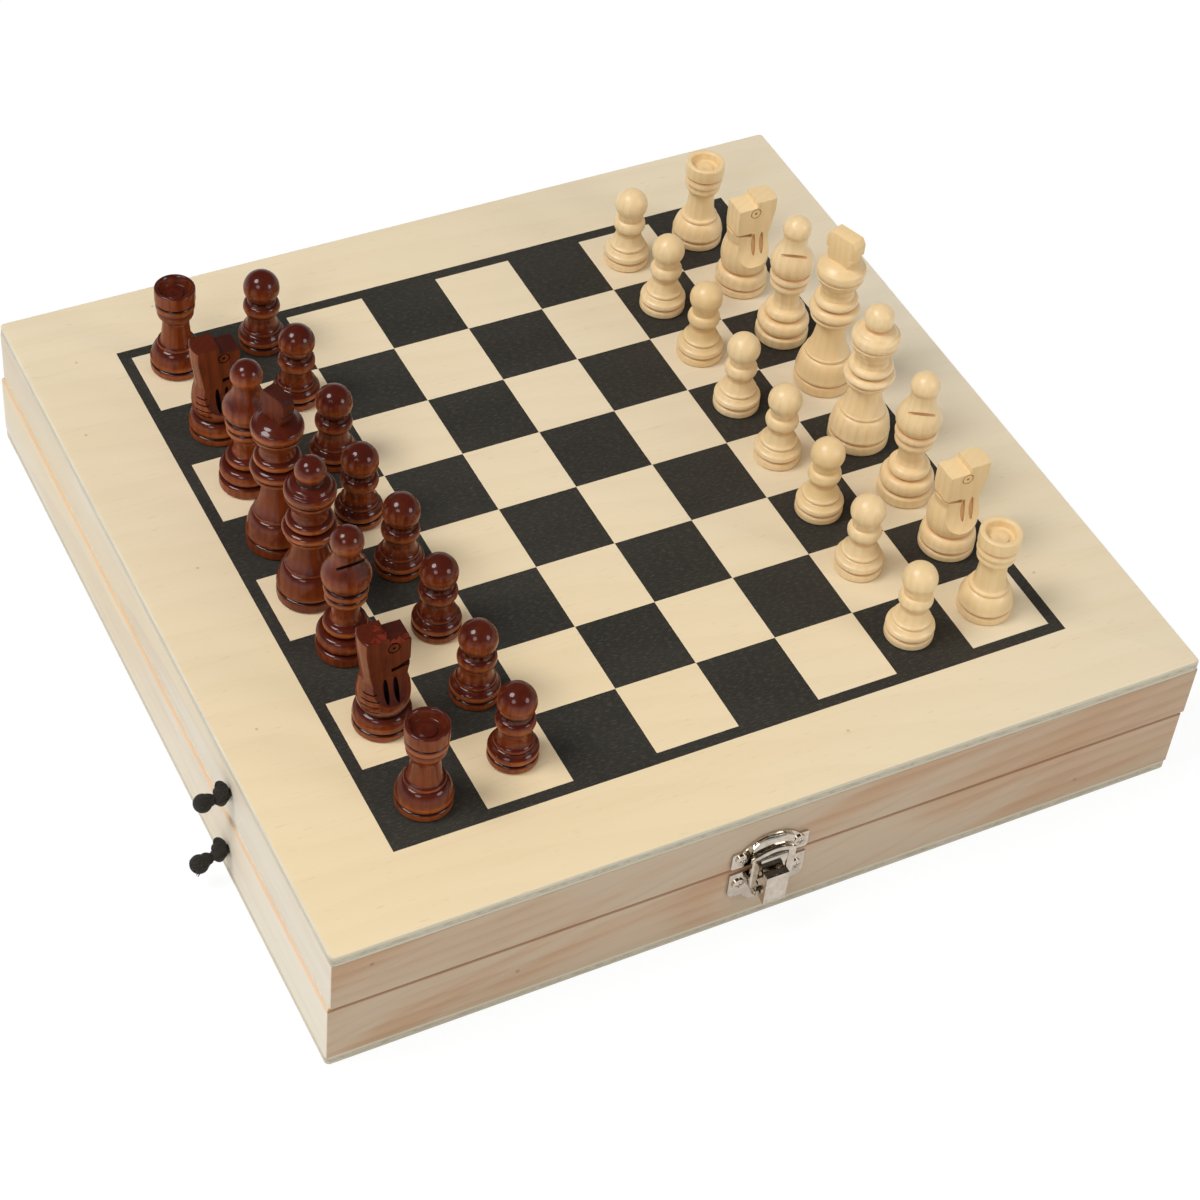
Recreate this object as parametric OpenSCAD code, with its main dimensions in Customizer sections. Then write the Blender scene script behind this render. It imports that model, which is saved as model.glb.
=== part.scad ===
// Games compendium box: a hinged wooden box with a chessboard printed on its lid,
// a front latch, a stay cord, and a full set of chessmen standing on the board.
// Millimetres. Origin: middle of the underside. +X right, +Y back to the hinges, +Z up.

/* [Box] */
// Outside width of both halves, left to right
box_w = 299.5; // [280:0.5:340]
// How far the lid sits to the right of the base
lid_shift = 1; // [0:0.5:3]
// Outside depth of both halves, front to back
box_d = 292.5; // [270:0.5:330]
// Height of the base
base_h = 27.2; // [27:0.2:34]
// Height of the lid
lid_h = 24.4; // [24:0.2:32]
// Thickness of the plywood panels
panel_t = 4; // [3:0.5:5]
// Thickness of the pine rails
rail_t = 9; // [8.5:0.5:12]
// Radius of the panels' upright corners
panel_corner_r = 1.6; // [1.2:0.2:5]
// Rounding of the panels' outer edges
panel_edge_r = 0.6; // [0.2:0.2:1]
// Bevel on the rails along the seam
seam_bevel = 0.7; // [0.3:0.1:1.2]

/* [Board print] */
// Side of one square
square = 28.35; // [26:0.05:30]
// Width of the line around the board
border_w = 4; // [2:0.5:6]
// Depth of the inked layer
print_t = 0.2; // [0.1:0.05:0.4]
// How far the board is printed to the left of the lid's middle
print_left = 0.5; // [0:0.1:2]
// Hairline between dark squares that meet at a corner
print_gap = 0.1; // [0.06:0.02:0.3]

/* [Trays] */
// Thickness of the dividers
divider_t = 3; // [2:0.5:5]
// How far the dividers stop below the seam
divider_drop = 1; // [0.5:0.5:4]
// Where the cross divider stands, from the middle towards the back
cross_y = 41; // [36:1:60]
// Diameter of a draught
draught_d = 25; // [20:0.5:27]
// Thickness of a draught
draught_t = 4.8; // [4:0.1:4.9]
// Free width beside the draughts in their tray
draught_play = 5; // [3:0.5:10]
// Gap between neighbouring stacks of draughts
stack_gap = 1; // [0.5:0.5:3]

/* [Hinges] */
// Distance of each hinge from the middle
hinge_x = 85; // [50:1:110]
// Length of a hinge
hinge_len = 30; // [24:1:40]
// Width of one leaf, from the seam
leaf_h = 9; // [8:0.5:12]
// Thickness of the leaves
leaf_t = 0.8; // [0.6:0.1:1.1]
// Radius of the knuckles
knuckle_r = 1.7; // [1.5:0.1:2.2]
// Radius of the hinge pins
hinge_pin_r = 0.8; // [0.6:0.05:1]
// Distance of the knuckles from the wall
knuckle_off = 0.3; // [0.2:0.05:0.5]
// Gap between neighbouring knuckles
knuckle_gap = 0.3; // [0.2:0.05:0.6]

/* [Latch] */
// Where the latch stands, from the middle; it is a little left of it
latch_x = -4.2; // [-30:0.1:30]
// Thickness of the latch's sheet steel
steel_t = 0.8; // [0.6:0.1:0.9]
// Width of the plate on the lid
catch_w = 26.6; // [26:0.2:30]
// Width of the plate on the base
keeper_w = 26.4; // [26:0.2:29]
// Depth of the nose, from the wall
nose_out = 3.8; // [3.6:0.1:4.4]
// Where the back of the hoop stands, from the wall
hoop_y = 2.6; // [2.5:0.1:3]
// Width over the hoop
hoop_w = 15.2; // [14.8:0.2:15.6]
// Width of the folded handle
handle_w = 7.8; // [7:0.2:8]
// How far the handle stands out from the wall
handle_out = 7.2; // [6.8:0.1:9]
// Height of the lever's pin below the seam
lever_pin_drop = 9.9; // [9.9:0.1:10.6]
// Radius of the lever's pin
lever_pin_r = 0.75; // [0.6:0.05:0.9]

/* [Screws] */
// Radius of the screw shanks
screw_r = 1.1; // [0.8:0.1:1.4]
// Length of the screw shanks, from the wood's face
screw_len = 6; // [4:0.5:7]
// Radius of the screw heads
screw_head_r = 2.1; // [1.8:0.1:2.3]
// Height of the screw heads
screw_head_h = 0.9; // [0.6:0.1:1.2]

/* [Stay cord] */
// Diameter of the cord
cord_d = 3; // [2.4:0.2:3.2]
// Clearance of the cord in its holes, all round
cord_fit = 0.3; // [0.2:0.1:0.5]
// How far the cord's holes lie in front of the middle
cord_front = 68.5; // [68.5:0.5:69.5]

/* [Chessmen] */
// Height of a pawn
pawn_h = 31; // [29:0.5:38]
// Diameter of a pawn's foot
pawn_d = 16; // [15:0.5:19]
// Height of a rook
rook_h = 34.5; // [33:0.5:42]
// Diameter of a rook's foot
rook_d = 18; // [17:0.5:20]
// Height of a knight
knight_h = 37.2; // [36.6:0.2:44]
// Diameter of a knight's foot
knight_d = 18.6; // [17.5:0.2:20]
// Thickness of a knight's head between its flat cheeks
knight_cheek = 8.4; // [7:0.2:10]
// Height of a bishop
bishop_h = 52; // [51:0.5:58]
// Diameter of a bishop's foot
bishop_d = 18.6; // [17.6:0.2:20]
// Height of a queen
queen_h = 58; // [57:0.5:66]
// Diameter of a queen's foot
queen_d = 20.8; // [19.6:0.2:21.6]
// Height of a king
king_h = 62.5; // [61.5:0.5:72]
// Diameter of a king's foot
king_d = 20.4; // [19.6:0.2:21.6]
// Height of the disc that pawns, rooks and knights stand on
foot_h = 3; // [2:0.1:3.4]
// Height of the disc that bishops, queens and kings stand on
tall_foot_h = 4.2; // [3.6:0.1:4.6]

/* [Hidden] */
$fn = 48;
eps = 0.01;

PAWNS = [for (side = ["dark", "light"], i = [1:8]) str(side, "_pawn_", i)];
RANKS = [for (side = ["dark", "light"], man = ["rook_1", "knight_1", "bishop_1", "king",
         "queen", "bishop_2", "knight_2", "rook_2"]) str(side, "_", man)];

// Box
lid_x = lid_shift;
seam_z = base_h;
lid_top = base_h + lid_h;
base_rail_h = base_h - panel_t;
lid_rail_h = lid_h - panel_t;
fit = 0.05;

// Colours
pine = [0.82, 0.72, 0.58];
plywood = [0.91, 0.83, 0.69];
ink = [0.16, 0.15, 0.13];
nickel = [0.72, 0.70, 0.67];
black_cord = [0.13, 0.11, 0.09];
dark_wood = [0.42, 0.20, 0.12];
light_wood = [0.89, 0.80, 0.62];

// Board
board_side = 8 * square;
grid_x = lid_x - print_left - board_side / 2;
grid_y = -board_side / 2;

// Trays
tray_h = base_rail_h - divider_drop;
lane_w = draught_d + draught_play;
lane_x = box_w / 2 - rail_t - lane_w;
tray_front = -box_d / 2 + rail_t;
stack_n = 4;
stacks = 6;
disc_rim = 1.6;
disc_sink = 0.5;

// Hinges
hinge_axis_y = box_d / 2 + knuckle_off + knuckle_r;
knuckle_len = (hinge_len - 2 * knuckle_gap) / 3;
hinge_screw_x = 9;
hinge_screw_z = 5.4;
leaf_start = 0.6;
leaf_clear = 0.5;
pin_head_r = 1.2;
pin_head_h = 0.4;

// Latch, in its own frame: x right, y out from the wall, z up from the seam
latch_screw_x = 10;
catch_screw_z = 5.2;
keeper_screw_z = -6.6;
catch_low = 1;
catch_side = 8;
catch_arch_r = 12.8;
catch_apex = 12.9;
keeper_top = -1.6;
keeper_low = -12.8;
keeper_corner = 3;
lobe_r = 9;
lobe_z = -8.8;
hood_w = 14.4;
hood_low = 6.6;
hood_top = 12.3;
hood_out = 2.2;
nose_w = 9.2;
nose_low = -1.5;
nose_top = 5.3;
nose_sheet = 0.9;
nose_corner_r = 4.4;
hoop_apex = 8.2;
hoop_arch_r = 13.6;
hoop_bar = 1.5;
window_w = 10;
window_low = -4;
leg_low = -7.4;
leg_low_w = 13.6;
web_low = -7.8;
pin_out = 2.9;
lug_r = 1.75;
ear_t = 1;
ear_gap = 0.3;
handle_top = -0.2;
handle_low = -12.9;
handle_lip = 2.4;
cheek_top = -1.2;
cheek_hole_r = 0.7;
rivet_r = 1.25;
rivet_h = 0.5;

// Cord and knots
knot_r = 3.1;
knot_low = -1.7;
knot_mid = 1.6;
knot_mid_r = 2.5;
knot_high = 4.3;
knot_high_r = 1.9;
tail_r = 1.5;
lid_tail = [-8.7, -1, 2.8];
base_tail = [-9.3, -3, 3.3];
cord_in = 2;
base_hole_z = base_h / 2 - 0.6;
lid_hole_z = lid_top - lid_h / 2;
cord_start_x = -box_w / 2 + rail_t + cord_in;
cord_lie = panel_t + cord_d / 2 + 0.1;

// The slack cord's route over the floor of the left tray, from the base's hole to the
// lid's hole: [to the right of its first point, back from the holes, height], where a
// height of 0 lies on the floor, 1 is measured from the base's hole and 2 from the lid's
cord_route = [
    [0, 0, 1, 0], [5, 0, 1, -0.3], [10, 0, 1, -2.4], [15, 0.5, 1, -5], [21, 2, 0, 0.2],
    [28, 6, 0, 0], [34, 13, 0, 0], [36, 22, 0, 0], [33, 31, 0, 0], [30, 40, 0, 0],
    [32, 50, 0, 0], [38, 59, 0, 0], [41, 69, 0, 0], [38, 79, 0, 0], [31, 87, 0, 0],
    [22, 91, 0, 0], [13, 88, 0, 0], [8, 80, 0, 0], [8, 70, 0, 0], [12, 60, 0, 0],
    [14, 50, 0, 0], [11, 40, 0, 0], [7, 31, 0, 0], [7, 22, 0, 0], [10, 14, 0, 0.2],
    [10.5, 8, 0, 3], [9.5, 5, 0, 9], [8.8, 4.2, 0, 15], [8.4, 3.8, 0, 21], [7.6, 3.2, 0, 27],
    [5.6, 1.6, 2, -1.6], [2.6, 0.3, 2, -0.2], [0, 0, 2, 0]];
function cord_height(mark, up) =
    up + (mark == 0 ? cord_lie : mark == 1 ? base_hole_z : lid_hole_z);
cord_points = [for (p = cord_route)
    [cord_start_x + p[0], -cord_front + p[1], cord_height(p[2], p[3])]];
cord_steps = 2;
cord_sides = 8;

// Where each man stands on its square: [right, back] of the square's middle, in the
// order of the rows from the back
dark_rank_at = [[-1, 5.5], [0, -1], [0, 0.5], [-1, 0.5], [-0.5, 3.5], [0.5, 5.5], [-1, 1.5], [-2, -3.5]];
dark_pawns_at = [[1.5, 5.5], [2, 4], [2, 0.5], [-1, 0.5], [2, 3], [2, 2.5], [1.5, 1], [1.5, 2]];
light_pawns_at = [[-2.5, -0.5], [-2, 0.5], [-1.5, 1.5], [-2, 2], [-1.5, 2.5], [-1, 3], [-2, 3.5], [-2, -0.5]];
light_rank_at = [[-1, 1.5], [1.5, 1], [2, 0], [3.8, 2], [0.6, 0.5], [2, 0], [2, 1.5], [-1.5, 0.5]];
// The way a king's finial and each side's two saw cuts face, and the slope of the cuts
dark_finial_turn = -70;
light_finial_turn = 70;
dark_saw_turns = [160, -12];
light_saw_turns = [30, 30];
saw_tilt = 45;

// ---- Outlines -----------------------------------------------------------------------

// Points along an arc about c, from angle a to angle b
function arc(c, r, a, b, n) =
    [for (i = [0:n]) let (t = a + (b - a) * i / n) [c[0] + r * cos(t), c[1] + r * sin(t)]];

// Points along a curve that leaves p towards q and arrives at s
function curve(p, q, s, n) =
    [for (i = [0:n]) let (t = i / n) (1 - t) * (1 - t) * p + 2 * t * (1 - t) * q + t * t * s];

// A turned bead between two heights, with its widest radius and how far it bulges
function bead(r, z0, z1, bulge, n) =
    [for (i = [0:n]) let (t = -90 + 180 * i / n)
        [r - bulge + bulge * cos(t), (z0 + z1) / 2 + (z1 - z0) / 2 * sin(t)]];

// The foot that all men share, a disc of height h with a groove over it, and the bulge
// above it that closes in to a shoulder
foot_round = 0.8;
foot_groove = 0.8;
function disc(r, h) = concat(
    [[0, 0]],
    arc([r - foot_round, foot_round], foot_round, -90, 0, 3),
    arc([r - foot_round, h - foot_round], foot_round, 0, 60, 2),
    [[r - foot_groove, h + 0.1]]);
function foot(r, h, shoulder_r, shoulder_z) = concat(
    disc(r, h),
    curve([r - foot_groove, h + 0.3], [r + 0.3, h + 0.7], [r - 0.1, h + 2.2], 4),
    curve([r - 0.2, h + 2.6], [r - 0.8, shoulder_z - 2.2], [shoulder_r, shoulder_z - 0.3], 5),
    [[shoulder_r, shoulder_z]]);

// A ball on a stem of radius stem_r, up to the top
function ball(r, top, stem_r, n) =
    arc([0, top - r], r, -acos(stem_r / r), 90, n);

module turned(points) rotate_extrude() polygon(points);

// A rectangle with round corners, from [x0, y0] to [x1, y1]
module round_rect(x0, y0, x1, y1, r) {
    translate([x0 + r, y0]) square([x1 - x0 - 2 * r, y1 - y0]);
    translate([x0, y0 + r]) square([x1 - x0, y1 - y0 - 2 * r]);
    for (x = [x0 + r, x1 - r], y = [y0 + r, y1 - r]) translate([x, y]) circle(r);
}

// ---- Box ----------------------------------------------------------------------------

// A plywood panel on the XY plane, its edges rounded all round
module panel(w, d) {
    r = panel_edge_r;
    hull() for (x = [-1, 1], y = [-1, 1])
        translate([x * (w / 2 - panel_corner_r), y * (d / 2 - panel_corner_r), 0])
            rotate_extrude($fn = 32) polygon(concat(
                [[0, 0]],
                arc([panel_corner_r - r, r], r, -90, 0, 3),
                arc([panel_corner_r - r, panel_t - r], r, 0, 90, 3),
                [[0, panel_t]]));
}

// A mitred rail along X with its outer face on y = 0 and the bevel on its top edge
module rail(length, h) {
    intersection() {
        rotate([90, 0, 90]) translate([0, 0, -length / 2]) linear_extrude(length)
            polygon([[0, 0], [rail_t, 0], [rail_t, h], [seam_bevel, h], [0, h - seam_bevel]]);
        linear_extrude(h) polygon([[-length / 2, 0], [length / 2, 0],
            [length / 2 - rail_t, rail_t], [-length / 2 + rail_t, rail_t]]);
    }
}

// Puts a rail on the side of a half that faces the given angle: 0 front, 90 right
module on_side(angle) {
    reach = angle % 180 == 0 ? box_d / 2 : box_w / 2;
    rotate([0, 0, angle]) translate([0, -reach, 0]) children();
}

// The rail on one side of the base or of the lid
module base_rail(angle, length)
    translate([0, 0, panel_t]) on_side(angle) rail(length, base_rail_h);

module lid_rail(angle, length) translate([lid_x, 0, lid_top - panel_t]) mirror([0, 0, 1])
    on_side(angle) rail(length, lid_rail_h);

// Bores for screws in a wall that is square to Y, from the wall's face inwards
module screw_bores(places, face_y, inward)
    for (p = places) translate([p[0], face_y - inward, p[1]]) rotate([-90 * inward, 0, 0])
        cylinder(r = screw_r + fit, h = screw_len + 1 + fit);

module cord_bore(z)
    translate([-box_w / 2 - 1, -cord_front, z]) rotate([0, 90, 0])
        cylinder(d = cord_d + 2 * cord_fit, h = rail_t + lid_shift + 2);

module base_panel() color(plywood) panel(box_w, box_d);

module base_front_rail() color(pine) difference() {
    base_rail(0, box_w);
    screw_bores(latch_holes(keeper_screw_z), -box_d / 2, 1);
}

module base_back_rail() color(pine) difference() {
    base_rail(180, box_w);
    screw_bores(hinge_holes(-hinge_screw_z), box_d / 2, -1);
}

module base_left_rail() color(pine) difference() {
    base_rail(270, box_d);
    cord_bore(base_hole_z);
}

module base_right_rail() color(pine) base_rail(90, box_d);

module lid_panel() color(plywood) difference() {
    translate([lid_x, 0, lid_top - panel_t]) panel(box_w, box_d);
    board_ink(1);
}

module lid_front_rail() color(pine) difference() {
    lid_rail(0, box_w);
    screw_bores(latch_holes(catch_screw_z), -box_d / 2, 1);
}

module lid_back_rail() color(pine) difference() {
    lid_rail(180, box_w);
    screw_bores(hinge_holes(hinge_screw_z), box_d / 2, -1);
}

module lid_left_rail() color(pine) difference() {
    lid_rail(270, box_d);
    cord_bore(lid_hole_z);
}

module lid_right_rail() color(pine) lid_rail(90, box_d);

// ---- Board print --------------------------------------------------------------------

// The side of a dark square runs into the border, or stops short of its neighbour
function ink_edge(k) = k == 0 || k == 8 ? border_w / 2 : -print_gap / 2;

// The inked shapes, with some height over the lid when they are used to cut their recess
module board_ink(over) {
    translate([0, 0, lid_top - print_t]) linear_extrude(print_t + over) {
        difference() {
            translate([grid_x - border_w, grid_y - border_w])
                square(board_side + 2 * border_w);
            translate([grid_x, grid_y]) square(board_side);
        }
        for (i = [0:7], j = [0:7]) if ((i + j) % 2 == 0)
            translate([grid_x + i * square - ink_edge(i), grid_y + j * square - ink_edge(j)])
                square([square + ink_edge(i) + ink_edge(i + 1),
                        square + ink_edge(j) + ink_edge(j + 1)]);
    }
}

module board_print() color(ink) board_ink(0);

// ---- Trays and draughts -------------------------------------------------------------

module dividers() color(pine) {
    translate([lane_x - divider_t, tray_front, panel_t])
        cube([divider_t, box_d - 2 * rail_t, tray_h]);
    translate([-box_w / 2 + rail_t, cross_y, panel_t])
        cube([lane_x - divider_t + box_w / 2 - rail_t, divider_t, tray_h]);
}

module draught() {
    r = draught_d / 2;
    turned(concat(
        [[0, disc_sink], [r - disc_rim - disc_sink, disc_sink], [r - disc_rim, 0]],
        arc([r - 0.6, 0.6], 0.6, -90, 0, 3),
        arc([r - 0.6, draught_t - 0.6], 0.6, 0, 90, 3),
        [[r - disc_rim, draught_t], [r - disc_rim - disc_sink, draught_t - disc_sink],
         [0, draught_t - disc_sink]]));
}

// Three stacks of one colour in the side tray, from the given stack on
module draught_stacks(first) {
    pitch = draught_d + stack_gap;
    for (s = [first:first + stacks / 2 - 1], k = [0:stack_n - 1])
        translate([lane_x + lane_w / 2, tray_front + pitch * (s + 0.5), panel_t + k * draught_t])
            draught();
}

module dark_draughts() color(dark_wood) draught_stacks(0);

module light_draughts() color(light_wood) draught_stacks(stacks / 2);

// ---- Hinges -------------------------------------------------------------------------

function hinge_holes(z) = [for (h = [-hinge_x, hinge_x], x = [-hinge_screw_x, hinge_screw_x])
    [h + x, seam_z + z]];

module along_x(r, x0, x1) translate([x0, 0, 0]) rotate([0, 90, 0]) cylinder(r = r, h = x1 - x0);

// One leaf above the seam with knuckles over the given lengths, about the pin on the X axis
module leaf(spans) {
    wall = -knuckle_r - knuckle_off;
    difference() {
        union() {
            translate([-hinge_len / 2, wall, knuckle_r + leaf_clear])
                cube([hinge_len, leaf_t, leaf_h - knuckle_r - leaf_clear]);
            for (s = spans) {
                along_x(knuckle_r, s[0], s[1]);
                translate([s[0], wall, leaf_start])
                    cube([s[1] - s[0], leaf_t, leaf_h - leaf_start]);
            }
        }
        along_x(hinge_pin_r + fit, -hinge_len, hinge_len);
        for (x = [-hinge_screw_x, hinge_screw_x]) translate([x, wall - 1, hinge_screw_z])
            rotate([-90, 0, 0]) cylinder(r = screw_r + fit, h = leaf_t + 2);
    }
}

module at_hinges() for (h = [-hinge_x, hinge_x]) translate([h, hinge_axis_y, seam_z]) children();

module hinge_base_leaves() color(nickel) at_hinges() mirror([0, 0, 1])
    leaf([[-hinge_len / 2, -knuckle_len / 2 - knuckle_gap],
          [knuckle_len / 2 + knuckle_gap, hinge_len / 2]]);

module hinge_lid_leaves() color(nickel) at_hinges()
    leaf([[-knuckle_len / 2, knuckle_len / 2]]);

module hinge_pins() color(nickel) at_hinges() {
    along_x(hinge_pin_r, -hinge_len / 2 - fit, hinge_len / 2 + fit);
    along_x(pin_head_r, hinge_len / 2 + fit, hinge_len / 2 + fit + pin_head_h);
    along_x(pin_head_r, -hinge_len / 2 - fit - pin_head_h, -hinge_len / 2 - fit);
}

// A cross-head screw that points along -Z, its head's underside on z = 0
module screw(plate) {
    translate([0, 0, -screw_len - plate]) cylinder(r = screw_r, h = screw_len + plate + eps);
    difference() {
        intersection() {
            cylinder(r = screw_head_r, h = screw_head_h);
            translate([0, 0, screw_head_h - 3 * screw_head_r]) sphere(3 * screw_head_r);
        }
        for (a = [0, 90]) rotate([0, 0, a])
            translate([-screw_head_r * 0.6, -0.25, screw_head_h - 0.4])
                cube([screw_head_r * 1.2, 0.5, 1]);
    }
}

module hinge_screws(z) for (p = hinge_holes(z))
    translate([p[0], box_d / 2 + leaf_t, p[1]]) rotate([-90, 0, 0]) screw(leaf_t);

module hinge_base_screws() color(nickel) hinge_screws(-hinge_screw_z);

module hinge_lid_screws() color(nickel) hinge_screws(hinge_screw_z);

// ---- Latch --------------------------------------------------------------------------

function latch_holes(z) = [for (x = [-latch_screw_x, latch_screw_x]) [latch_x + x, seam_z + z]];

module at_latch() translate([latch_x, -box_d / 2, seam_z]) mirror([0, 1, 0]) children();

// A shape drawn over x and z, t thick, whose back is y out from the wall
module sheet(y, t) translate([0, y + t, 0]) rotate([90, 0, 0]) linear_extrude(t) children();

// A shape drawn over y and z, w wide, with its middle at x
module slab(x, w) translate([x - w / 2, 0, 0]) rotate([90, 0, 90]) linear_extrude(w) children();

module plate_holes(z) for (x = [-latch_screw_x, latch_screw_x]) translate([x, -1, z])
    rotate([-90, 0, 0]) cylinder(r = screw_r + fit, h = steel_t + 2);

module latch_screws_at(z) at_latch() for (x = [-latch_screw_x, latch_screw_x])
    translate([x, steel_t, z]) rotate([-90, 0, 0]) screw(steel_t);

ear_x = handle_w / 2 + ear_gap + ear_t / 2;
pin_z = -lever_pin_drop;

module latch_plate() color(nickel) at_latch() difference() {
    union() {
        sheet(0, steel_t) {
            round_rect(-keeper_w / 2, keeper_low, keeper_w / 2, keeper_top, keeper_corner);
            translate([-keeper_w / 2, keeper_top - keeper_corner])
                square([keeper_w, keeper_corner]);
            translate([0, lobe_z]) intersection() {
                circle(lobe_r);
                translate([-lobe_r, -lobe_r]) square([2 * lobe_r, lobe_r]);
            }
        }
        for (x = [-ear_x, ear_x]) slab(x, ear_t) {
            translate([pin_out, pin_z]) circle(lug_r);
            translate([steel_t / 2, pin_z - lug_r]) square([pin_out - steel_t / 2, 2 * lug_r]);
        }
    }
    plate_holes(keeper_screw_z);
    translate([0, pin_out, pin_z]) along_x(lever_pin_r + fit, -hoop_w, hoop_w);
}

// The arched part of the lid's plate seen from the front, with a margin taken off its arch
module catch_arch(inset, low) intersection() {
    translate([0, catch_apex - catch_arch_r]) circle(catch_arch_r - inset);
    translate([-catch_w, low]) square(2 * catch_w);
}

module catch_plate() color(nickel) at_latch() difference() {
    union() {
        sheet(0, steel_t) {
            round_rect(-catch_w / 2, catch_low, catch_w / 2, catch_side, 0.8);
            catch_arch(0, catch_low);
        }
        // The domed hood under the arch
        intersection() {
            slab(0, hood_w) polygon(concat([[steel_t / 2, hood_low], [hood_out, hood_low]],
                [for (a = [0:15:90]) [steel_t + (hood_out - steel_t) * cos(a),
                    hood_low + 1.5 + (hood_top - hood_low - 1.5) * sin(a)]],
                [[steel_t / 2, hood_top]]));
            sheet(0, handle_out) catch_arch(catch_apex - hood_top, 0);
        }
        // The nose, rounded over at its top, and its tongue that hangs over the seam
        intersection() {
            slab(0, nose_w) polygon(concat(
                [[steel_t / 2, catch_low], [nose_out - nose_sheet, catch_low],
                 [nose_out - nose_sheet, nose_low], [nose_out, nose_low]],
                arc([nose_out - 1.6, nose_top - 1.6], 1.6, 0, 90, 4),
                [[hood_out - 0.6, nose_top], [hood_out - 0.6, hood_low + 0.4],
                 [steel_t / 2, hood_low + 0.4]]));
            sheet(0, handle_out) {
                translate([0, nose_low + nose_corner_r]) scale([nose_w / 2 / nose_corner_r, 1])
                    circle(nose_corner_r);
                translate([-nose_w / 2, nose_low + nose_corner_r])
                    square([nose_w, nose_w]);
            }
        }
    }
    plate_holes(catch_screw_z);
}

// The hoop seen from the front, with the given margin taken off its arch
module hoop_arch(inset, w, low) intersection() {
    translate([0, hoop_apex - hoop_arch_r]) circle(hoop_arch_r - inset);
    translate([-w / 2, low]) square([w, 2 * hoop_w]);
}

module latch_lever() color(nickel) at_latch() difference() {
    union() {
        sheet(hoop_y, steel_t) {
            difference() {
                hoop_arch(0, hoop_w, window_low);
                hoop_arch(hoop_bar, window_w, window_low);
            }
            // The legs draw in towards their ends
            for (s = [-1, 1]) polygon([[s * window_w / 2, window_low + eps],
                [s * hoop_w / 2, window_low + eps], [s * leg_low_w / 2, leg_low],
                [s * (leg_low_w / 2 - 1), leg_low - 0.4], [s * (window_w / 2 - eps), leg_low - 0.4]]);
            translate([-window_w / 2, web_low]) square([window_w, window_low - web_low]);
        }
        for (s = [-1, 1]) slab(s * (handle_w - steel_t) / 2, steel_t) {
            polygon([[hoop_y, cheek_top], [handle_out, handle_top], [handle_out, handle_low],
                     [pin_out + 0.4, pin_z - lug_r + 0.1], [hoop_y, pin_z]]);
            translate([pin_out, pin_z]) circle(lug_r);
        }
        slab(0, handle_w) translate([handle_out - handle_lip, handle_top - steel_t])
            square([handle_lip, steel_t]);
        slab(0, handle_w) translate([handle_out - steel_t, handle_low])
            square([steel_t, handle_top - handle_low]);
    }
    translate([0, pin_out, pin_z]) along_x(lever_pin_r + fit, -hoop_w, hoop_w);
    translate([0, pin_out + 1.6, web_low + 0.4]) along_x(cheek_hole_r, -hoop_w, hoop_w);
}

module latch_pin() color(nickel) at_latch() translate([0, pin_out, pin_z]) {
    head = ear_x + ear_t / 2 + fit;
    along_x(lever_pin_r, -head - eps, head + eps);
    along_x(rivet_r, head, head + rivet_h);
    along_x(rivet_r, -head - rivet_h, -head);
}

module latch_screws() color(nickel) latch_screws_at(keeper_screw_z);

module catch_screws() color(nickel) latch_screws_at(catch_screw_z);

// ---- Stay cord ----------------------------------------------------------------------

// A point between p[i] and p[i + 1], on a smooth curve through all the points
function along(p, i, t) = let (
        last = len(p) - 1, b = p[i], c = p[i + 1],
        a = i > 0 ? p[i - 1] : 2 * b - c, d = i + 1 < last ? p[i + 2] : 2 * c - b)
    0.5 * (2 * b + (c - a) * t + (2 * a - 5 * b + 4 * c - d) * t * t
        + (3 * b - a - 3 * c + d) * t * t * t);
function smooth_path(p, n) = concat(
    [for (i = [0:len(p) - 2], k = [0:n - 1]) along(p, i, k / n)], [p[len(p) - 1]]);
function unit(v) = v / norm(v);
// The cord's direction at each point; both ends are square to the walls
function heading(q, i) = i == 0 ? [1, 0, 0] : i == len(q) - 1 ? [-1, 0, 0]
    : unit(q[i + 1] - q[i - 1]);
// A sideways direction that is carried along the cord without twist
function sideways(q, i, before) = let (h = heading(q, i)) unit(before - (before * h) * h);
function frames(q, i, before) = i == len(q) ? []
    : let (s = sideways(q, i, before)) concat([s], frames(q, i + 1, s));

module tube(q, d, sides) {
    side = frames(q, 0, [0, 1, 0]);
    n = len(q);
    points = [for (i = [0:n - 1], k = [0:sides - 1])
        let (a = 360 * k / sides, h = heading(q, i))
            q[i] + d / 2 * (cos(a) * side[i] + sin(a) * cross(h, side[i]))];
    skin = [for (i = [0:n - 2], k = [0:sides - 1], half = [0, 1])
        let (a = i * sides + k, b = i * sides + (k + 1) % sides)
            half == 0 ? [a, b + sides, b] : [a, a + sides, b + sides]];
    polyhedron(points, concat(skin, [[for (k = [0:sides - 1]) k]],
        [[for (k = [sides - 1:-1:0]) (n - 1) * sides + k]]));
}

module stay_cord() color(black_cord)
    tube(smooth_path(cord_points, cord_steps), cord_d, cord_sides);

// A knot outside the wall whose cord runs through the bore at height z: a fat lump with a
// turn of cord over its top, and the cord's end beyond it
module knot(face_x, z, tail) translate([face_x, -cord_front, z]) {
    along_x(cord_d / 2, -knot_r, cord_start_x - face_x);
    translate([-knot_r - fit, 0, 0]) turned(concat(
        arc([0, knot_low], knot_r, -90, 12, 9),
        arc([0, knot_mid], knot_mid_r, 0, 12, 1),
        arc([0, knot_high], knot_high_r, 8, 90, 6)));
    translate([tail[0], 0, tail[1]]) sphere(tail[2]);
    translate([-knot_r, 0, knot_low]) rotate([0, 90 - atan2(tail[1] - knot_low, tail[0] + knot_r), 0])
        cylinder(r = tail_r, h = norm([tail[0] + knot_r, tail[1] - knot_low]));
}

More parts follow.
